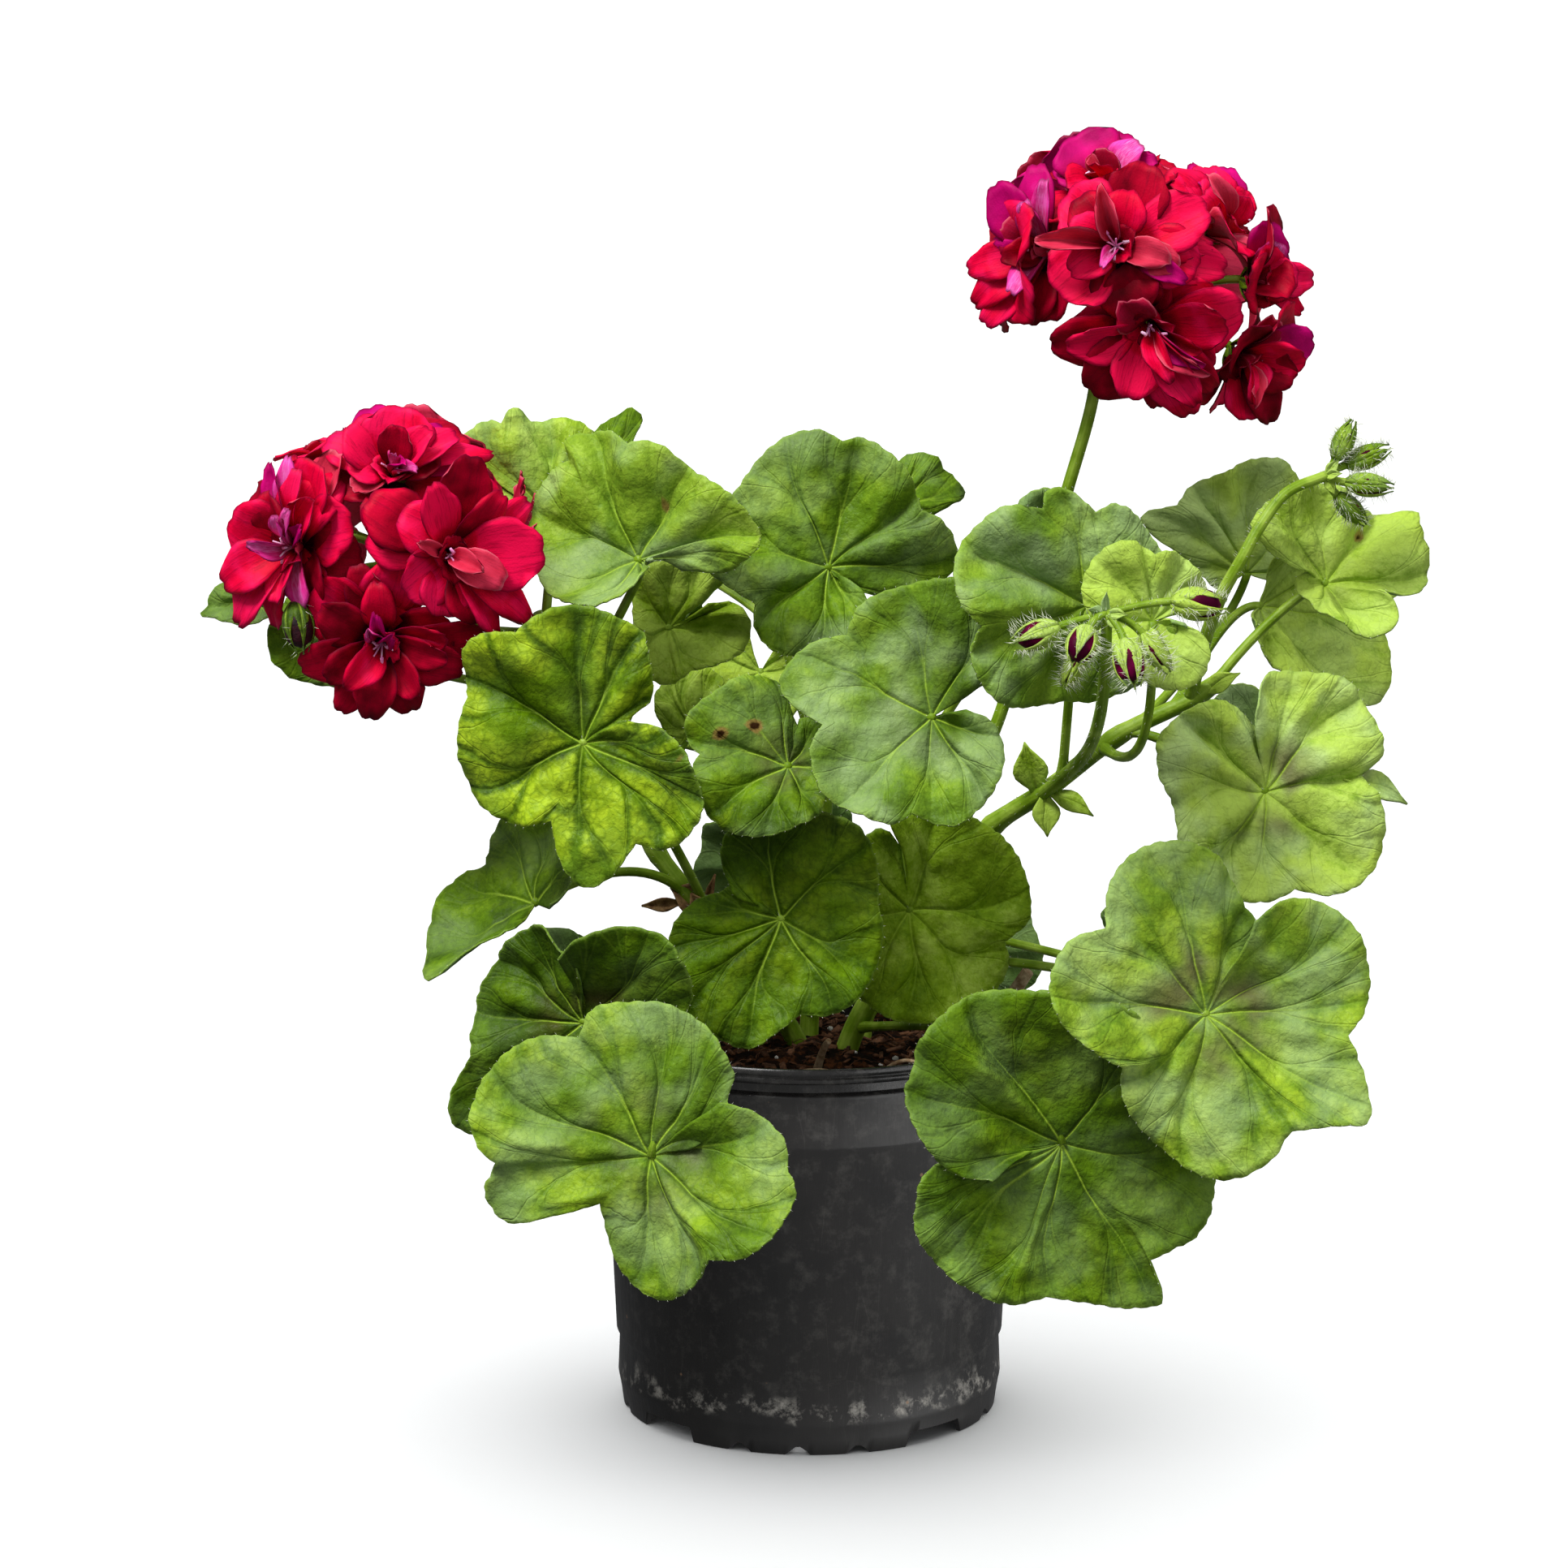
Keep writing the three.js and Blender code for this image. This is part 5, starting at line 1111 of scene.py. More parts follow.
def make_leaf(name, leaf):
    """A leaf: its blade, folded along its main veins, with its stalk."""
    draws = random.Random(name)
    across, up, normal = leaf_axes(leaf)
    hub = Vector(leaf["hub"])
    outline = leaf_outline(leaf, draws)
    columns = len(outline) - 1
    size = max(point.length for point, turn in outline)
    rows = max(8, round(size / 2.4))
    first, last = outline[0][1], outline[-1][1]
    veins = leaf.get("veins") or [first + (last - first) * (k + 0.5) / 7 for k in range(7)]
    lobes = [lobe_place(turn, veins) for point, turn in outline]
    folds = [(draws.uniform(0.05, 1.5), draws.uniform(0.28, 0.72)) for _ in range(40)]
    heights = [draws.choice((0, 0, 0.25, 1)) for _ in range(41)]
    look = leaf.get("look", PLAIN_LOOK)
    bend = leaf.get("bend", (0, 0))
    wave = draws.uniform(0, 6)
    folded = leaf.get("folded", 1)
    shift = Vector([draws.uniform(0, 100) for _ in range(3)])

    def place(u, v):
        k = round(u * columns)
        point, turn = outline[k]
        lobe, gap = lobes[k]
        sway = noise.noise(Vector((lobe * 0.8, v * 0.7, 0)) + shift) * 0.34 * math.sin(math.pi * v)
        flat = Matrix.Rotation(sway, 3, "Z") @ point * v
        reach = flat.length
        bent = bend[1] * max(0, math.cos(math.radians(turn - bend[0]))) ** 2
        width = min(math.radians(gap) * reach, 26)
        depth, crest = folds[math.floor(lobe) + 5]
        part = lobe % 1
        a, b = heights[math.floor(lobe) + 5], heights[math.floor(lobe) + 6]
        raised = (a + (b - a) * part) * reach * VEIN_RISE * folded
        part = 0.5 * part / crest if part < crest else 1 - 0.5 * (1 - part) / (1 - crest)
        fold = (abs(math.sin(math.pi * part)) ** 0.9 * depth - 0.25) * width * FOLD_DEPTH * folded + raised
        fold *= smoothstep(0, 0.25, v) * (1 - 0.45 * smoothstep(0.7, 1, v))
        crease = abs(abs((lobe + 0.5) % 1 - 0.5) - 0.36 * smoothstep(0.3, 1, v)) * width
        fold -= 0.35 * math.exp(-(crease / 1.5) ** 2) * smoothstep(0.4, 0.6, v)
        rumple = noise.noise(flat * 0.16 + shift) * 1.7 * smoothstep(0.1, 0.5, v)
        rumple += noise.noise(flat * 0.36 + shift) * 0.5 * smoothstep(0.1, 0.4, v)
        ripple = math.sin(lobe * math.pi * 2 + wave) * 0.016 * size * v ** 3
        dimple = -1.6 * math.exp(-(reach / 3.4) ** 2)
        saddle = 0.09 * math.sin(2 * math.radians(turn) + wave)
        saddle += 0.06 * math.sin(3 * math.radians(turn) + 2 * wave)
        saddle = size * v * v * saddle
        near_end = math.exp(-((last - turn) / 42) ** 2)
        near_start = math.exp(-(max(0, turn - first - 16) / 36) ** 2)
        lap = size * LAP * (near_end - 0.55 * near_start) * v * smoothstep(0, 0.6, v)
        lap -= size * 0.07 * math.exp(-((last - turn - 24) / 22) ** 2 - ((v - 0.32) / 0.17) ** 2)
        rise = (LEAF_CUP * v * v - LEAF_FOLD / 3 * v - bent * v * v) * size
        rise += fold + rumple + ripple + dimple + saddle + (lap if last - first > 330 else 0)
        return hub + across * flat.x + up * flat.y + normal * rise

    def marks(u, v):
        k = round(u * columns)
        point, turn = outline[k]
        speck = 0
        for way, far, radius in leaf.get("spots", ()):
            spot = Vector((math.cos(math.radians(way)) * far, math.sin(math.radians(way)) * far, 0))
            speck = max(speck, 1 - smoothstep(radius * 0.2, radius * 1.2 + 0.5, (point * v - spot).length))
        return math.radians(lobes[k][1]) * (point * v).length, speck

    chart = lambda u, v: (lobes[round(u * columns)][0], v)
    bm = new_mesh()
    blade = bent_grid(bm, columns, rows, place, chart, look, marks)
    bmesh.ops.reverse_faces(bm, faces=[f for f in blade if f.is_valid])
    for flap in leaf.get("flaps", ()):
        leaflet(bm, **flap, look=look)
    number = name[-2:]
    finished(f"blade_{number}", bm, (UPPER_LEAF, LOWER_LEAF), "leaf", name, wall=BLADE_THICKNESS, under=1)

    stalk = leaf_stalk_line(leaf)
    bm = new_mesh()
    swollen = lambda share: STALK_RADIUS * (1 + 0.2 * share) * (1 + 0.5 * smoothstep(0.93, 1, share))
    tube(bm, stalk, swollen)
    finished(f"leaf_stalk_{number}", bm, (STALK,), "stem")
    return outline, place, stalk


def leaf_stalk_line(leaf):
    """A leaf's stalk leaves the back of the hub and curves over to its place on the stem."""
    stem, share = leaf["foot"]
    normal = facing(*leaf["face"])
    hub = Vector(leaf["hub"]) - normal * HUB_GAP
    foot = evenly(STEM_LINES[stem], 200)[round(share * 200)]
    way = hub - foot
    arch = leaf.get("arch", 0) + 0.12 * way.length
    leave = hub - normal * 0.3 * way.length + UP * arch * 0.6
    arrive = foot + way * 0.3 + UP * arch
    if "via" in leaf:
        leave, arrive = leaf["via"]
    return bezier((hub - normal * 0.9, leave, arrive, foot), 24)


def make_leaf_hairs(rims):
    """The fine hairs that fringe the leaves and stand on their stalks."""
    draws = random.Random("down")
    fringe = new_mesh()
    on_stalks = new_mesh()
    for name, (outline, place, stalk) in rims.items():
        hairs_along(on_stalks, draws, stalk, STALK_RADIUS, 1.3, 1.1)
        if name > "leaf_26":
            continue
        columns = len(outline) - 1
        middle = place(0.5, 0.02)
        for k in range(0, columns + 1, 2):
            rim = place(k / columns, 1)
            stray = Vector([draws.uniform(-0.4, 0.4) for _ in range(3)])
            hair(fringe, rim, (rim - middle).normalized() + stray, draws.uniform(0.5, 0.95), 0.05)
    finished("leaf_fringe_hairs", fringe, (HAIR,), "leaf")
    finished("leaf_stalk_hairs", on_stalks, (HAIR,), "stem")


# Stems and buds

def make_stem(name, stem):
    """A stem, thicker at its nodes, with the small leaflets that grow there."""
    draws = random.Random(name)
    line = evenly(STEM_LINES[name], 60)
    knots = [draws.uniform(0.3, 0.4), draws.uniform(0.52, 0.62), draws.uniform(0.76, 0.84), 0.97]
    a, b = stem["radii"]

    def radius(share):
        swell = sum(0.22 * math.exp(-((share - knot) / 0.016) ** 2) for knot in knots)
        return (a + (b - a) * share) * (0.97 + swell)

    bm = new_mesh()
    tube(bm, line, radius, 16)
    finished(f"stem_{name}_living", bm, (STALK,), "stem", f"stem_{name}")
    if "dry" in stem:
        bm = new_mesh()
        for each in stem["dry"]:
            leaflet(bm, **each, cup=0.5)
        finished(f"stem_{name}_dry_stipules", bm, (DRY_STIPULE,), "stem", wall=0.4)
    if stem["leaflets"]:
        bm = new_mesh()
        for each in stem["leaflets"]:
            leaflet(bm, **each, look=(1.0, 0.2, 0))
        finished(f"stem_{name}_leaflets", bm, (UPPER_LEAF, LOWER_LEAF), "leaf", wall=0.4, under=1)
    bm = new_mesh()
    hairs_along(bm, draws, line[16:], (a + b) / 2, 0.7, 1.3)
    finished(f"stem_{name}_hairs", bm, (HAIR,), "stem")


def bud_parts(bm_green, bm_red, bm_hair, draws, tone, at, points, scale, opening, hairs=42):
    """A bud: five hairy sepals closed round rolled petals, which show at the tip of an opening one."""
    way = Vector(points).normalized()
    side = way.orthogonal().normalized()
    turn_over = way.cross(side)
    start = Vector(at)
    length = 12 * scale
    girth = (3.1 + 0.7 * opening) * scale

    def swell(v):
        return girth * math.sin(math.pi * (0.05 + 0.87 * v) ** 0.85) ** 0.8

    for number in range(5):
        middle = number * math.tau / 5 + draws.uniform(-0.15, 0.15)
        gape = opening * draws.uniform(0.1, 0.9)
        narrow = 0.25 + 0.5 * opening * draws.uniform(0.7, 1.2)

        def place(u, v):
            half = 0.72 * (1 - narrow * smoothstep(0.15, 0.8, v)) * (1 - 0.95 * smoothstep(0.75, 1.0, v))
            turn = middle + (2 * u - 1) * half
            out = swell(min(v, 0.97)) * (1 - 0.15 * smoothstep(0.8, 1, v)) + 0.22
            out += gape * v ** 2 * scale - 0.25 * abs(2 * u - 1) ** 2 * smoothstep(0.1, 0.5, v)
            round_way = side * math.cos(turn) + turn_over * math.sin(turn)
            return start + way * length * v * 1.06 + round_way * out

        look = (tone - 0.25 * draws.random(), 0.5, 0, 0.3)
        chart = lambda u, v: (u - 0.5, 0.25 + 0.55 * v)
        bent_grid(bm_green, 6, 12, place, chart, look, lambda u, v: (4, 0))
        for _ in range(hairs):
            u, v = draws.uniform(0.05, 0.95), draws.uniform(0.02, 1)
            root = place(u, v)
            out = (root - start - way * (root - start).dot(way)).normalized()
            hair(bm_hair, root, out + way * draws.uniform(-0.3, 0.9), draws.uniform(1.6, 4.4) * scale, 0.07)

    def core(u, v):
        turn = u * math.tau
        folds = 1 + 0.09 * math.sin(2 * turn + v * 7) * smoothstep(0.3, 0.7, v)
        out = swell(v * 0.95) * folds * smoothstep(0, 0.08, v) * math.sqrt(max(0, 1 - smoothstep(0.85, 1, v)))
        return (start + way * length * v * (0.86 + 0.1 * opening)
                + (side * math.cos(turn) + turn_over * math.sin(turn)) * out)

    bent_grid(bm_red, 18, 14, core, lambda u, v: (0.15 + 0.7 * u, 0.3 + 0.55 * v), (0.2, 0.95, 0))


def make_bud_cluster(name, cluster):
    """A cluster of buds on their short stalks, all with long soft hairs."""
    draws = random.Random(name + " buds")
    green, red, stalks, down = new_mesh(), new_mesh(), new_mesh(), new_mesh()
    line = smooth_line(cluster["line"], 8)
    tube(stalks, line, (1.9, 1.4), 12)
    hairs_along(down, draws, line, 1.5, 0.5, 1.7)
    top = Vector(cluster["line"][-1])
    for bud in cluster["buds"]:
        at, way = Vector(bud["at"]), Vector(bud["points"]).normalized()
        short = bezier((top, at - way * 4, at + way * 1.2), 8)
        tube(stalks, short, (0.85, 1.15), 8)
        hairs_along(down, draws, short, 0.9, 0.35, 1.8)
        bud_parts(green, red, down, draws, cluster["tone"], **bud)
    for _ in range(7):
        way = Vector([draws.uniform(-1, 1) for _ in range(3)])
        leaflet(green, top - way.normalized() * 0.3, way, way.cross(UP) + UP * 0.3, 6, 2.8,
                look=(1.1, 0.3, 0, 0.6))
    finished(f"buds_{name}_sepals", green, (UPPER_LEAF, LOWER_LEAF), "bud", f"bud_cluster_{name}",
             wall=SEPAL_THICKNESS, under=1)
    finished(f"buds_{name}_petals", red, (PETAL_FACE,), "petal")
    finished(f"buds_{name}_stalks", stalks, (STALK,), "stem")
    finished(f"buds_{name}_hairs", down, (HAIR,), "bud")


# Flowers

# How light each kind of petal is, and how magenta and how white it is streaked
PETAL_LOOKS = {
    "bright": (1.1, 0, 0), "red": (0.92, 0.05, 0), "dark": (0.46, 0.08, 0), "mauve": (0.35, 0.2, 0),
    "magenta": (0.66, 0.9, 0), "white": (0.85, 0.95, 0.4), "back": (0.8, 0, 0),
}
BACK_KINDS = ("back", "mauve")


def petal(bm, draws, base, tip, face, width, fold, kind):
    """A broad petal on a narrow claw, arched along its length, hollow or folded along its middle."""
    along = tip - base
    length = along.length
    along.normalize()
    normal = face - along * face.dot(along)
    if normal.length < 0.05:
        normal = along.orthogonal()
    normal.normalize()
    across = along.cross(normal)
    arch = draws.uniform(0.03, 0.14) * length
    ruffle, phase = draws.uniform(0.4, 1.3), draws.uniform(0, 6)
    lean = draws.uniform(-0.06, 0.06)
    rise = min(2.6, math.tan(fold))
    curl = draws.uniform(-0.04, 0.13) * length
    tone, magenta, white = PETAL_LOOKS[kind]
    look = (tone + draws.uniform(-0.08, 0.08), magenta, white)
    widths = ((0, 0.14), (0.22, 0.52), (0.44, 0.92), (0.66, 1.06), (0.86, 1.02), (1, 0.8))

    def wide(v):
        for (a, wa), (b, wb) in zip(widths, widths[1:]):
            if v <= b:
                return wa + (wb - wa) * smoothstep(a, b, v) * 0.5 + (wb - wa) * (v - a) / (b - a) * 0.5
        return widths[-1][1]

    def place(u, v):
        side = 2 * u - 1
        half = width * 0.5 * wide(v)
        reach = 1 - 0.2 * abs(side) ** 2.9 * v * v - 0.035 * math.exp(-(side / 0.22) ** 2) * v ** 6
        reach *= length * v
        lift = arch * math.sin(math.pi * v) - curl * smoothstep(0.7, 1, v) ** 2
        lift += rise * half * abs(side) ** 1.5 * smoothstep(0, 0.3, v)
        lift += ruffle * math.sin(side * 4.5 + phase + v * 3) * v * v * 0.6
        lift += 0.35 * math.sin(side * 10 + phase * 2) * v ** 4
        return base + along * reach + across * (side * half + lean * length * v * v) + normal * lift

    faces = bent_grid(bm, 8, 9, place, look=look)
    if kind in BACK_KINDS:
        bmesh.ops.reverse_faces(bm, faces=[f for f in faces if f.is_valid])


def ring(bm, draws, heart, axis, count, length, width, lean, turn, kinds, fold=0.15):
    """A ring of petals round a flower's axis, all leaning out from it."""
    level = Vector((0, 1, 0)) if abs(axis.z) > 0.8 else UP
    first = level.cross(axis).normalized()
    for number in range(count):
        out = first.copy()
        out.rotate(Matrix.Rotation(math.radians(360 / count * number + turn + draws.uniform(-9, 9)), 3, axis))
        a = math.radians(lean + draws.uniform(-7, 7))
        tip = heart + (out * math.sin(a) + axis * math.cos(a)) * length * draws.uniform(0.9, 1.05)
        petal(bm, draws, heart + out * 1.2, tip, axis - out * 0.5 * math.cos(a),
              width * draws.uniform(0.9, 1.1), fold + draws.uniform(0, 0.2), draws.choice(kinds))


def make_flower(bm, green, threads, draws, at, faces, heart=(0, -1, 0), petals=()):
    """A double flower: its petals, its thread-like stamens, and the sepals behind it."""
    axis = Vector(faces).normalized()
    start = Vector(at)
    middle = start + Vector(heart) * (1 if petals else 0)
    turn = at[0] * 7
    seen_face = (axis + Vector((0, -1, 0.15)) * 1.6 * smoothstep(0.3, 0.9, 1 + axis.y)).normalized()
    ring(bm, draws, start - axis * 1.5, axis, 5, 21 if petals else 24, 17, 80 if petals else 74, turn,
         ("dark", "red") if petals else ("red", "red", "dark", "magenta"))
    if petals:
        for tip, width, fold, kind in petals:
            end = start + Vector(tip)
            inward = (end - middle).normalized()
            petal(bm, draws, middle + inward * 0.8, end, seen_face - inward * 0.25, width, fold, kind)
        ring(bm, draws, middle, axis, 4, 9, 7, 42, turn + 20, ("dark", "red"), 0.4)
    else:
        ring(bm, draws, start, axis, 5, 20, 15, 56, turn + 36, ("red", "bright", "red", "dark"))
        ring(bm, draws, start, axis, 4, 13, 9, 32, turn + 10, ("red", "magenta", "dark"), 0.5)
    side = axis.orthogonal().normalized()
    for number in range(7):
        out = side.copy()
        out.rotate(Matrix.Rotation(number * math.tau / 7 + draws.uniform(-0.3, 0.3), 3, axis))
        tip = middle + axis * draws.uniform(5, 8.5) + out * draws.uniform(1, 3.4)
        line = bezier((middle + axis * 0.5, middle + axis * 4, tip), 6)
        tube(threads, line, (0.34, 0.24), 5)
        if number % 2:
            tube(threads, [tip, tip + out * 0.8, tip + out * 1.7 + axis * 0.2], (0.55, 0.35), 5)
    for number in range(5):
        out = side.copy()
        out.rotate(Matrix.Rotation(number * math.tau / 5, 3, axis))
        leaflet(green, start - axis * 4.4, out * 0.8 + axis * 0.55, -axis + out * 0.6, 8.5, 3,
                look=(0.6, 0.2, 0))


def make_head(name, head):
    """A round head of flowers on its stalk."""
    draws = random.Random(name + " head")
    red, green, threads, stalks, down = (new_mesh() for _ in range(5))
    line = smooth_line(head["line"], 12)
    tube(stalks, line, HEAD_STALK_RADII, 14)
    hairs_along(down, draws, line, HEAD_STALK_RADII[0], 0.8, 1.0)
    finished(f"head_stalk_{name}", stalks, (STALK,), "stem", f"flower_stalk_{name}")
    top = Vector(head["line"][-1])
    pedicels = new_mesh()
    for flower in head["flowers"]:
        axis = Vector(flower["faces"]).normalized()
        end = Vector(flower["at"]) - axis * 3
        short = bezier((top, end - axis * 9, end), 10)
        tube(pedicels, short, (PEDICEL_RADIUS, PEDICEL_RADIUS * 1.3), 8)
        hairs_along(down, draws, short, PEDICEL_RADIUS, 1.5, 0.9)
        make_flower(red, green, threads, draws, **flower)
    for number in range(8):
        turn = number * math.tau / 8
        out = Vector((math.cos(turn), math.sin(turn), draws.uniform(-0.5, 0.3)))
        leaflet(green, top - UP * 0.5, out, UP + out * 0.3, 6.5, 2.6, look=(0.7, 0.2, 0))
    if "withered" in head:
        dark, bud = new_mesh(), head["withered"]
        at, way = Vector(bud["at"]), Vector(bud["points"]).normalized()
        tube(pedicels, bezier((top, at - way * 9, at + way), 10), (PEDICEL_RADIUS, PEDICEL_RADIUS * 1.2), 8)
        bud_parts(green, dark, down, random.Random("withered bud"), 0.4, **bud)
        finished(f"withered_bud_{name}", dark, (WITHERED,), "bud")
    finished(f"petals_{name}", red, (PETAL_FACE, PETAL_BACK), "petal", f"flower_head_{name}",
             wall=PETAL_THICKNESS, under=1)
    finished(f"sepals_{name}", green, (UPPER_LEAF, LOWER_LEAF), "leaf", wall=SEPAL_THICKNESS, under=1)
    finished(f"stamens_{name}", threads, (STAMEN,), "petal")
    finished(f"pedicels_{name}", pedicels, (STALK,), "stem")
    finished(f"head_hairs_{name}", down, (HAIR,), "stem")


# The pot and its soil


def make_pot():
    """The pot, turned round its axis, with its lip's two ridges, its notched foot and its drain holes."""
    lip = POT_HEIGHT - LIP_HEIGHT
    band_foot = lip - BAND_HEIGHT
    band = RIM_RADIUS - BAND_DEPTH
    shoulder = RIM_RADIUS - SHOULDER_DEPTH
    skirt = BASE_RADIUS + 1.2
    ring_height = 86
    ring_radius = skirt + (shoulder - skirt) * (ring_height - SKIRT_HEIGHT) / (band_foot - 1 - SKIRT_HEIGHT)
    step_height = 21
    step_radius = skirt + (shoulder - skirt) * (step_height - SKIRT_HEIGHT) / (band_foot - 1 - SKIRT_HEIGHT)
    outside = [
        (BASE_RADIUS - 0.3, 0), (BASE_RADIUS, 0.3), (BASE_RADIUS + 0.5, LARGE_NOTCH_HEIGHT),
        (skirt - 0.15, SKIRT_HEIGHT - 0.6), (skirt, SKIRT_HEIGHT), (skirt + 0.15, SKIRT_HEIGHT + 1),
        (step_radius - 0.9, step_height - 1), (step_radius, step_height + 0.5),
        (ring_radius - 0.05, ring_height - 1), (ring_radius + 0.3, ring_height - 0.3),
        (ring_radius + 0.3, ring_height + 0.3), (ring_radius, ring_height + 1),
        (shoulder - 0.05, band_foot - 1.6), (shoulder, band_foot - 1), (shoulder - 0.35, band_foot - 0.4),
        (band + 0.5, band_foot - 0.1), (band, band_foot + 0.3), (band, lip - 0.3), (band + 0.4, lip),
        (RIM_RADIUS - 0.5, lip), (RIM_RADIUS, lip + 0.5), (RIM_RADIUS, lip + 1.3),
        (RIM_RADIUS - 0.6, lip + 1.8), (RIM_RADIUS - 0.6, lip + 2.1), (RIM_RADIUS - 0.1, lip + 2.6),
        (RIM_RADIUS - 0.1, POT_HEIGHT - 0.6),
        (RIM_RADIUS - 0.6, POT_HEIGHT),
    ]
    inside = [
        (RIM_RADIUS - LIP_WALL, POT_HEIGHT), (RIM_RADIUS - LIP_WALL - 0.6, POT_HEIGHT - 0.6),
        (band - POT_WALL, lip - 0.6), (band - POT_WALL, band_foot), (shoulder - POT_WALL, band_foot - 2),
        (BASE_RADIUS + 0.2, FLOOR_STEP + FLOOR_THICKNESS),
        (CENTRE_PAD_RADIUS + 1.2, FLOOR_STEP + FLOOR_THICKNESS),
        (CENTRE_PAD_RADIUS - 0.4, FLOOR_THICKNESS), (0, FLOOR_THICKNESS),
    ]
    under = [
        (0, 0), (CENTRE_PAD_RADIUS, 0), (CENTRE_PAD_RADIUS + 1.5, FLOOR_STEP),
        (BASE_RADIUS - SKIRT_WALL, FLOOR_STEP), (BASE_RADIUS - SKIRT_WALL, 0.05),
    ]
    bm = new_mesh()
    verts = [bm.verts.new((0, -r, z)) for r, z in under + outside + inside]
    for a, b in zip(verts, verts[1:]):
        bm.edges.new((a, b))
    bmesh.ops.spin(bm, geom=bm.verts[:] + bm.edges[:], cent=(0, 0, 0), axis=(0, 0, 1), angle=math.tau,
                   steps=POT_STEPS, use_merge=True, use_duplicate=False)
    bmesh.ops.remove_doubles(bm, verts=bm.verts, dist=0.001)

    # The foot is cut away at four wide notches and at three small round ones between each two
    for vert in bm.verts:
        if vert.co.z > LARGE_NOTCH_HEIGHT + 0.01 or vert.co.xy.length < BASE_RADIUS - SKIRT_WALL - 0.01:
            continue
        turn = math.degrees(math.atan2(vert.co.x, -vert.co.y)) - NOTCH_TURN
        arm = BASE_RADIUS * math.radians((turn + 45) % 90 - 45)
        wide_arm = abs(BASE_RADIUS * math.radians(turn % 90 - 45))
        half = LARGE_NOTCH_WIDTH / 2
        lift = LARGE_NOTCH_HEIGHT * (1 - smoothstep(half - 0.6, half + 0.6, wide_arm))
        for angle in SMALL_NOTCH_ANGLES:
            off = arm - BASE_RADIUS * math.radians(angle)
            lift = max(lift, math.sqrt(max(0, SMALL_NOTCH_RADIUS ** 2 - off ** 2)))
        vert.co.z = max(vert.co.z, lift)
    bmesh.ops.recalc_face_normals(bm, faces=bm.faces)
    pot = finished("nursery_pot", bm, (POT,), "pot", "pot")
    drill = bmesh.new()
    for quarter in range(4):
        turn = Matrix.Rotation(math.radians(90 * quarter + NOTCH_TURN), 4, "Z")
        place = turn @ Matrix.Translation((0, -DRAIN_PLACE, FLOOR_STEP + FLOOR_THICKNESS / 2))
        bmesh.ops.create_cone(drill, cap_ends=True, segments=32, radius1=DRAIN_RADIUS,
                              radius2=DRAIN_RADIUS, depth=6, matrix=place)
    bmesh.ops.scale(drill, vec=(MM, MM, MM), verts=drill.verts)
    holes = bpy.data.meshes.new("drill")
    drill.to_mesh(holes)
    drill.free()
    cutter = bpy.data.objects.new("drill", holes)
    bpy.context.scene.collection.objects.link(cutter)
    cut = pot.modifiers.new("Drain holes", "BOOLEAN")
    cut.object = cutter
    cut.solver = "EXACT"
    bpy.context.view_layer.update()
    drilled = bpy.data.meshes.new_from_object(pot.evaluated_get(bpy.context.evaluated_depsgraph_get()))
    pot.modifiers.remove(cut)
    pot.data = drilled
    bpy.data.objects.remove(cutter)
    smooth = pot.modifiers.new("Crisp corners", "EDGE_SPLIT")
    smooth.split_angle = math.radians(50)


def lump(x, y):
    """The soil's own lumps."""
    return 0.9 * math.sin(x * 0.31 + 1) * math.cos(y * 0.27) + 0.5 * math.sin(x * 0.13 - y * 0.19)


def soil_height(x, y):
    """The height of the soil at a place in the pot."""
    far = math.hypot(x, y)
    dome = SOIL_CROWN * (1 - smoothstep(0, 34, far)) - 2 * smoothstep(50, 55, far)
    crumbs = noise.noise(Vector((x, y, 0)) * 0.35) * 0.9 + noise.noise(Vector((x, y, 5)) * 0.9) * 0.5
    return SOIL_LEVEL + dome + lump(x, y) + crumbs


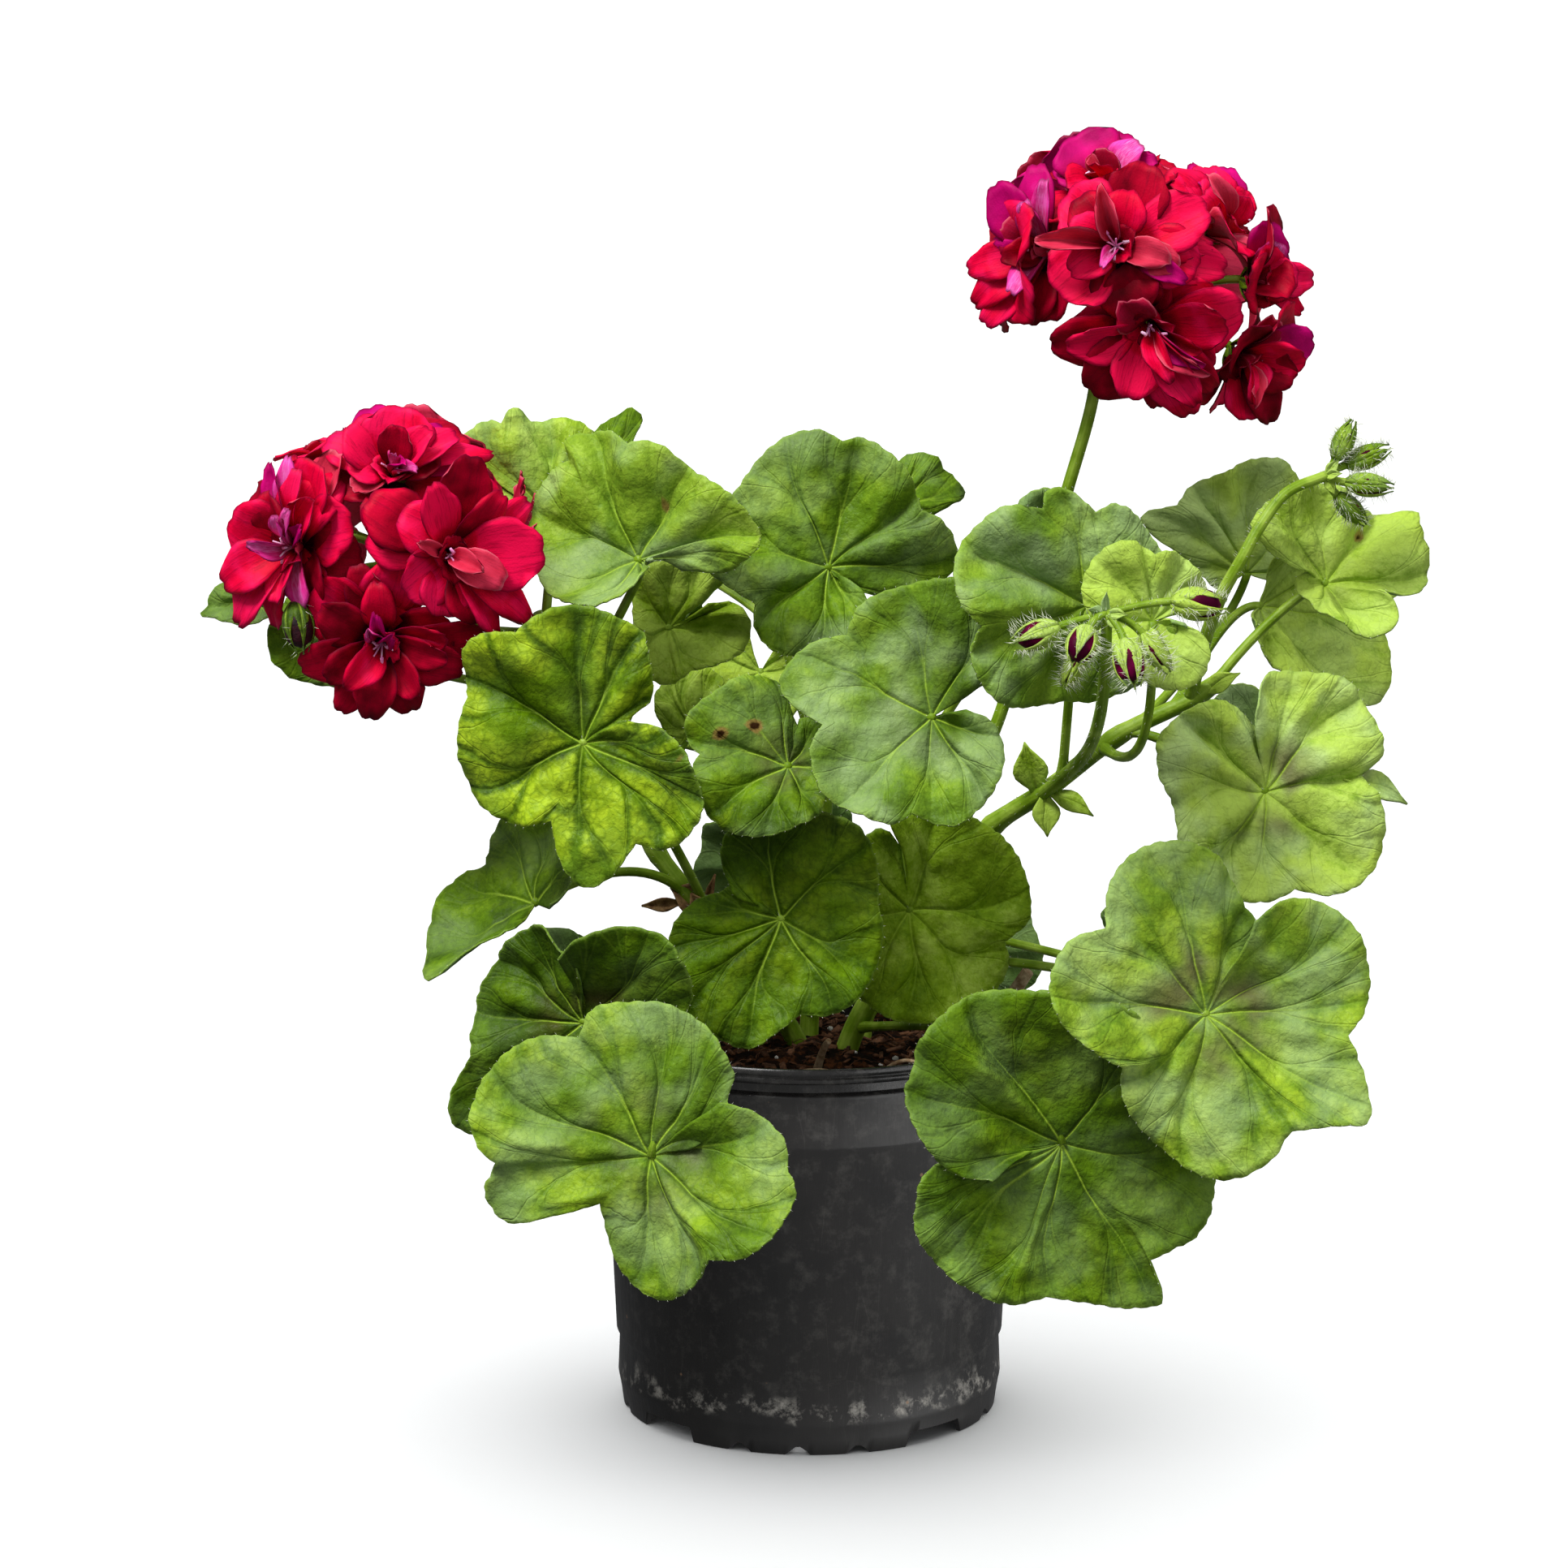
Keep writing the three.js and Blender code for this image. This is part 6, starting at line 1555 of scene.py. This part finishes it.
def make_soil():
    """The soil's crumbly top, with bark chips, coir fibres, bits of perlite and old stalks lying on it."""
    draws = random.Random("soil")
    top = RIM_RADIUS - SHOULDER_DEPTH - POT_WALL - 0.4
    floor = FLOOR_THICKNESS + 0.3
    bm = new_mesh()

    def place(u, v):
        turn = u * math.tau
        if v > 0.88:
            share = (v - 0.88) / 0.12
            r = (BASE_RADIUS - 0.3) * (1 - smoothstep(0.3, 1, share))
            r += (top - BASE_RADIUS + 0.3) * max(0, 1 - share * 3)
            level = SOIL_LEVEL - 3 - (SOIL_LEVEL - 8 - floor) * min(1, share * 1.6)
            return Vector((r * math.cos(turn), r * math.sin(turn), level))
        r = top * min(1, v / 0.87)
        x, y = r * math.cos(turn), r * math.sin(turn)
        return Vector((x, y, soil_height(x, y)))

    bent_grid(bm, 110, 50, place)
    bmesh.ops.recalc_face_normals(bm, faces=bm.faces)
    finished("potting_soil", bm, (SOIL,), "soil", "soil")

    def spot(reach=53):
        turn, r = draws.uniform(0, math.tau), reach * math.sqrt(draws.random())
        x, y = r * math.cos(turn), r * math.sin(turn)
        return Vector((x, y, soil_height(x, y)))

    def tumbled(at):
        turn = Matrix.Rotation(draws.uniform(0, 6), 4, "Z")
        turn = turn @ Matrix.Rotation(draws.uniform(-0.5, 0.5), 4, "X")
        return Matrix.Translation(at) @ turn @ Matrix.Rotation(draws.uniform(-0.5, 0.5), 4, "Y")

    chips, fibres, pearls, old = (new_mesh() for _ in range(4))
    for _ in range(330):
        size = Matrix.Diagonal((draws.uniform(1.2, 5), draws.uniform(0.8, 2.6), draws.uniform(0.4, 1.1), 1))
        bmesh.ops.create_cube(chips, size=1, matrix=tumbled(spot() + UP * 0.2) @ size)
    bmesh.ops.bevel(chips, geom=chips.edges[:], offset=0.18, segments=1, profile=0.5, affect="EDGES",
                    material=-1)
    for _ in range(150):
        at = spot(50)
        way = Vector((draws.uniform(-1, 1), draws.uniform(-1, 1), 0)).normalized() * draws.uniform(3, 9)
        bow = Vector((draws.uniform(-2, 2), draws.uniform(-2, 2), draws.uniform(1.5, 3.5)))
        tube(fibres, bezier((at, at + way * 0.5 + bow, at + way), 6), (0.16, 0.1), 4)
    for _ in range(45):
        bmesh.ops.create_icosphere(pearls, subdivisions=1, radius=draws.uniform(0.5, 1.1),
                                   matrix=tumbled(spot()))
    for at, way, bow, radius in (
        ((-6, -30, 99), (16, -8, 1), (2, 0, 4), 0.9), ((-2, -36, 99), (-12, -5, 2), (0, 0, 5), 0.8),
        ((18, -32, 99), (10, -6, 6), (0, 0, 4), 0.7), ((2, -22, 99), (3, -9, 10), (0, -2, 3), 1.2),
        ((26, -22, 98), (26, -6, 16), (6, 0, 10), 1.3), ((42, -8, 96), (17, -9, 29), (0, 0, 0), 2.4),
    ):
        at, way, bow = Vector(at), Vector(way), Vector(bow)
        tube(old, bezier((at, at + way * 0.5 + bow, at + way), 10), (radius, radius * 0.7), 8)
    finished("bark_chips", chips, (BARK,), "soil")
    finished("coir_fibres", fibres, (BARK,), "soil")
    finished("perlite", pearls, (PERLITE,), "soil")
    finished("old_stalks", old, (STRAW,), "soil")


make_pot()
make_soil()
for name, stem in STEMS.items():
    make_stem(name, stem)
rims = {name: make_leaf(name, leaf) for name, leaf in LEAVES.items()}
make_leaf_hairs(rims)
for name, head in HEADS.items():
    make_head(name, head)
for name, cluster in BUD_CLUSTERS.items():
    make_bud_cluster(name, cluster)


# The studio: a pale floor, a white surround and broad soft lights

def make_studio():
    """The floor, the pale surround, and a light from the upper left over broader ones from above and
    the right."""
    scene = bpy.context.scene
    bm = new_mesh()
    bmesh.ops.create_circle(bm, segments=96, radius=FLOOR_RADIUS, cap_ends=True)
    bmesh.ops.scale(bm, vec=(MM, MM, MM), verts=bm.verts)
    mesh = bpy.data.meshes.new("studio_floor")
    bm.to_mesh(mesh)
    bm.free()
    floor = bpy.data.objects.new("studio_floor", mesh)
    scene.collection.objects.link(floor)
    paper, node, shader = finish("White paper, matt", Roughness=0.9, Specular_IOR_Level=0.1)
    shade = node("TexNoise", node("TexCoord", out=3), Scale=per_mm(300))
    join(shader, Base_Color=node("ValToRGB", shade, stops=((0, "#F6F7F7"), (1, "#F9FAFA"))))
    mesh.materials.append(paper)
    floor.visible_diffuse = False
    floor.visible_glossy = False
    world = bpy.data.worlds.new("White surround")
    world.use_nodes = True
    world.node_tree.nodes["Background"].inputs[0].default_value = linear("#FAFCFF")
    world.node_tree.nodes["Background"].inputs[1].default_value = 0.2
    scene.world = world
    groups = {}
    plant = [each for each in scene.objects if each.type == "MESH" and each != floor]
    pot = [each for each in plant if each.name == "nursery_pot"]
    for name, members in (("plant", plant), ("pot", pot), ("floor", [floor])):
        groups[name] = bpy.data.collections.new(f"lit {name}")
        for each in members:
            groups[name].objects.link(each)
    for name, place, power, spread, falls_on, shaded_by, glossy in SOFTBOXES:
        lamp = bpy.data.lights.new(name, "SUN")
        lamp.energy = power
        lamp.angle = math.radians(spread)
        made = bpy.data.objects.new(name, lamp)
        made.rotation_euler = Vector(place).to_track_quat("Z", "Y").to_euler()
        made.light_linking.receiver_collection = groups[falls_on]
        made.light_linking.blocker_collection = groups[shaded_by]
        made.visible_glossy = glossy
        scene.collection.objects.link(made)
    scene.view_settings.view_transform = "Standard"


# Each light's name, the direction that it comes from, its power, how broad it looks in degrees, what it
# falls on, what shades it, and whether it shows as gloss
SOFTBOXES = (
    ("key_softbox", (-0.55, -0.5, 1.1), 3.9, 22, "plant", "plant", True),
    ("top_softbox", (0, -0.35, 1.0), 1.7, 110, "plant", "plant", False),
    ("side_softbox", (1.0, -0.45, 0.35), 0.6, 50, "plant", "plant", False),
    ("pot_side_softbox", (1.0, -0.45, 0.1), 5.5, 80, "pot", "pot", True),
    ("pot_front_softbox", (0, -1.0, -0.1), 1.8, 110, "pot", "pot", True),
    ("floor_softbox", (0.05, 0.65, 1.0), 2.0, 90, "floor", "pot", False),
    ("broad_softbox", (-0.2, 0.05, 1.0), 1.9, 110, "floor", "plant", False),
)
# The photograph's camera: a little above the plant and looking slightly down at its front
CAMERA_PLACE = (-0.007, -1.224, 0.398)
CAMERA_PITCH = 10.4
LENS = 105

make_studio()
camera = bpy.data.cameras.new("camera")
camera.lens = LENS
camera.sensor_width = 36
camera.clip_start = 0.01
viewer = bpy.data.objects.new("camera", camera)
viewer.location = CAMERA_PLACE
viewer.rotation_euler = (math.radians(90 - CAMERA_PITCH), 0, 0)
bpy.context.scene.collection.objects.link(viewer)
bpy.context.scene.camera = viewer
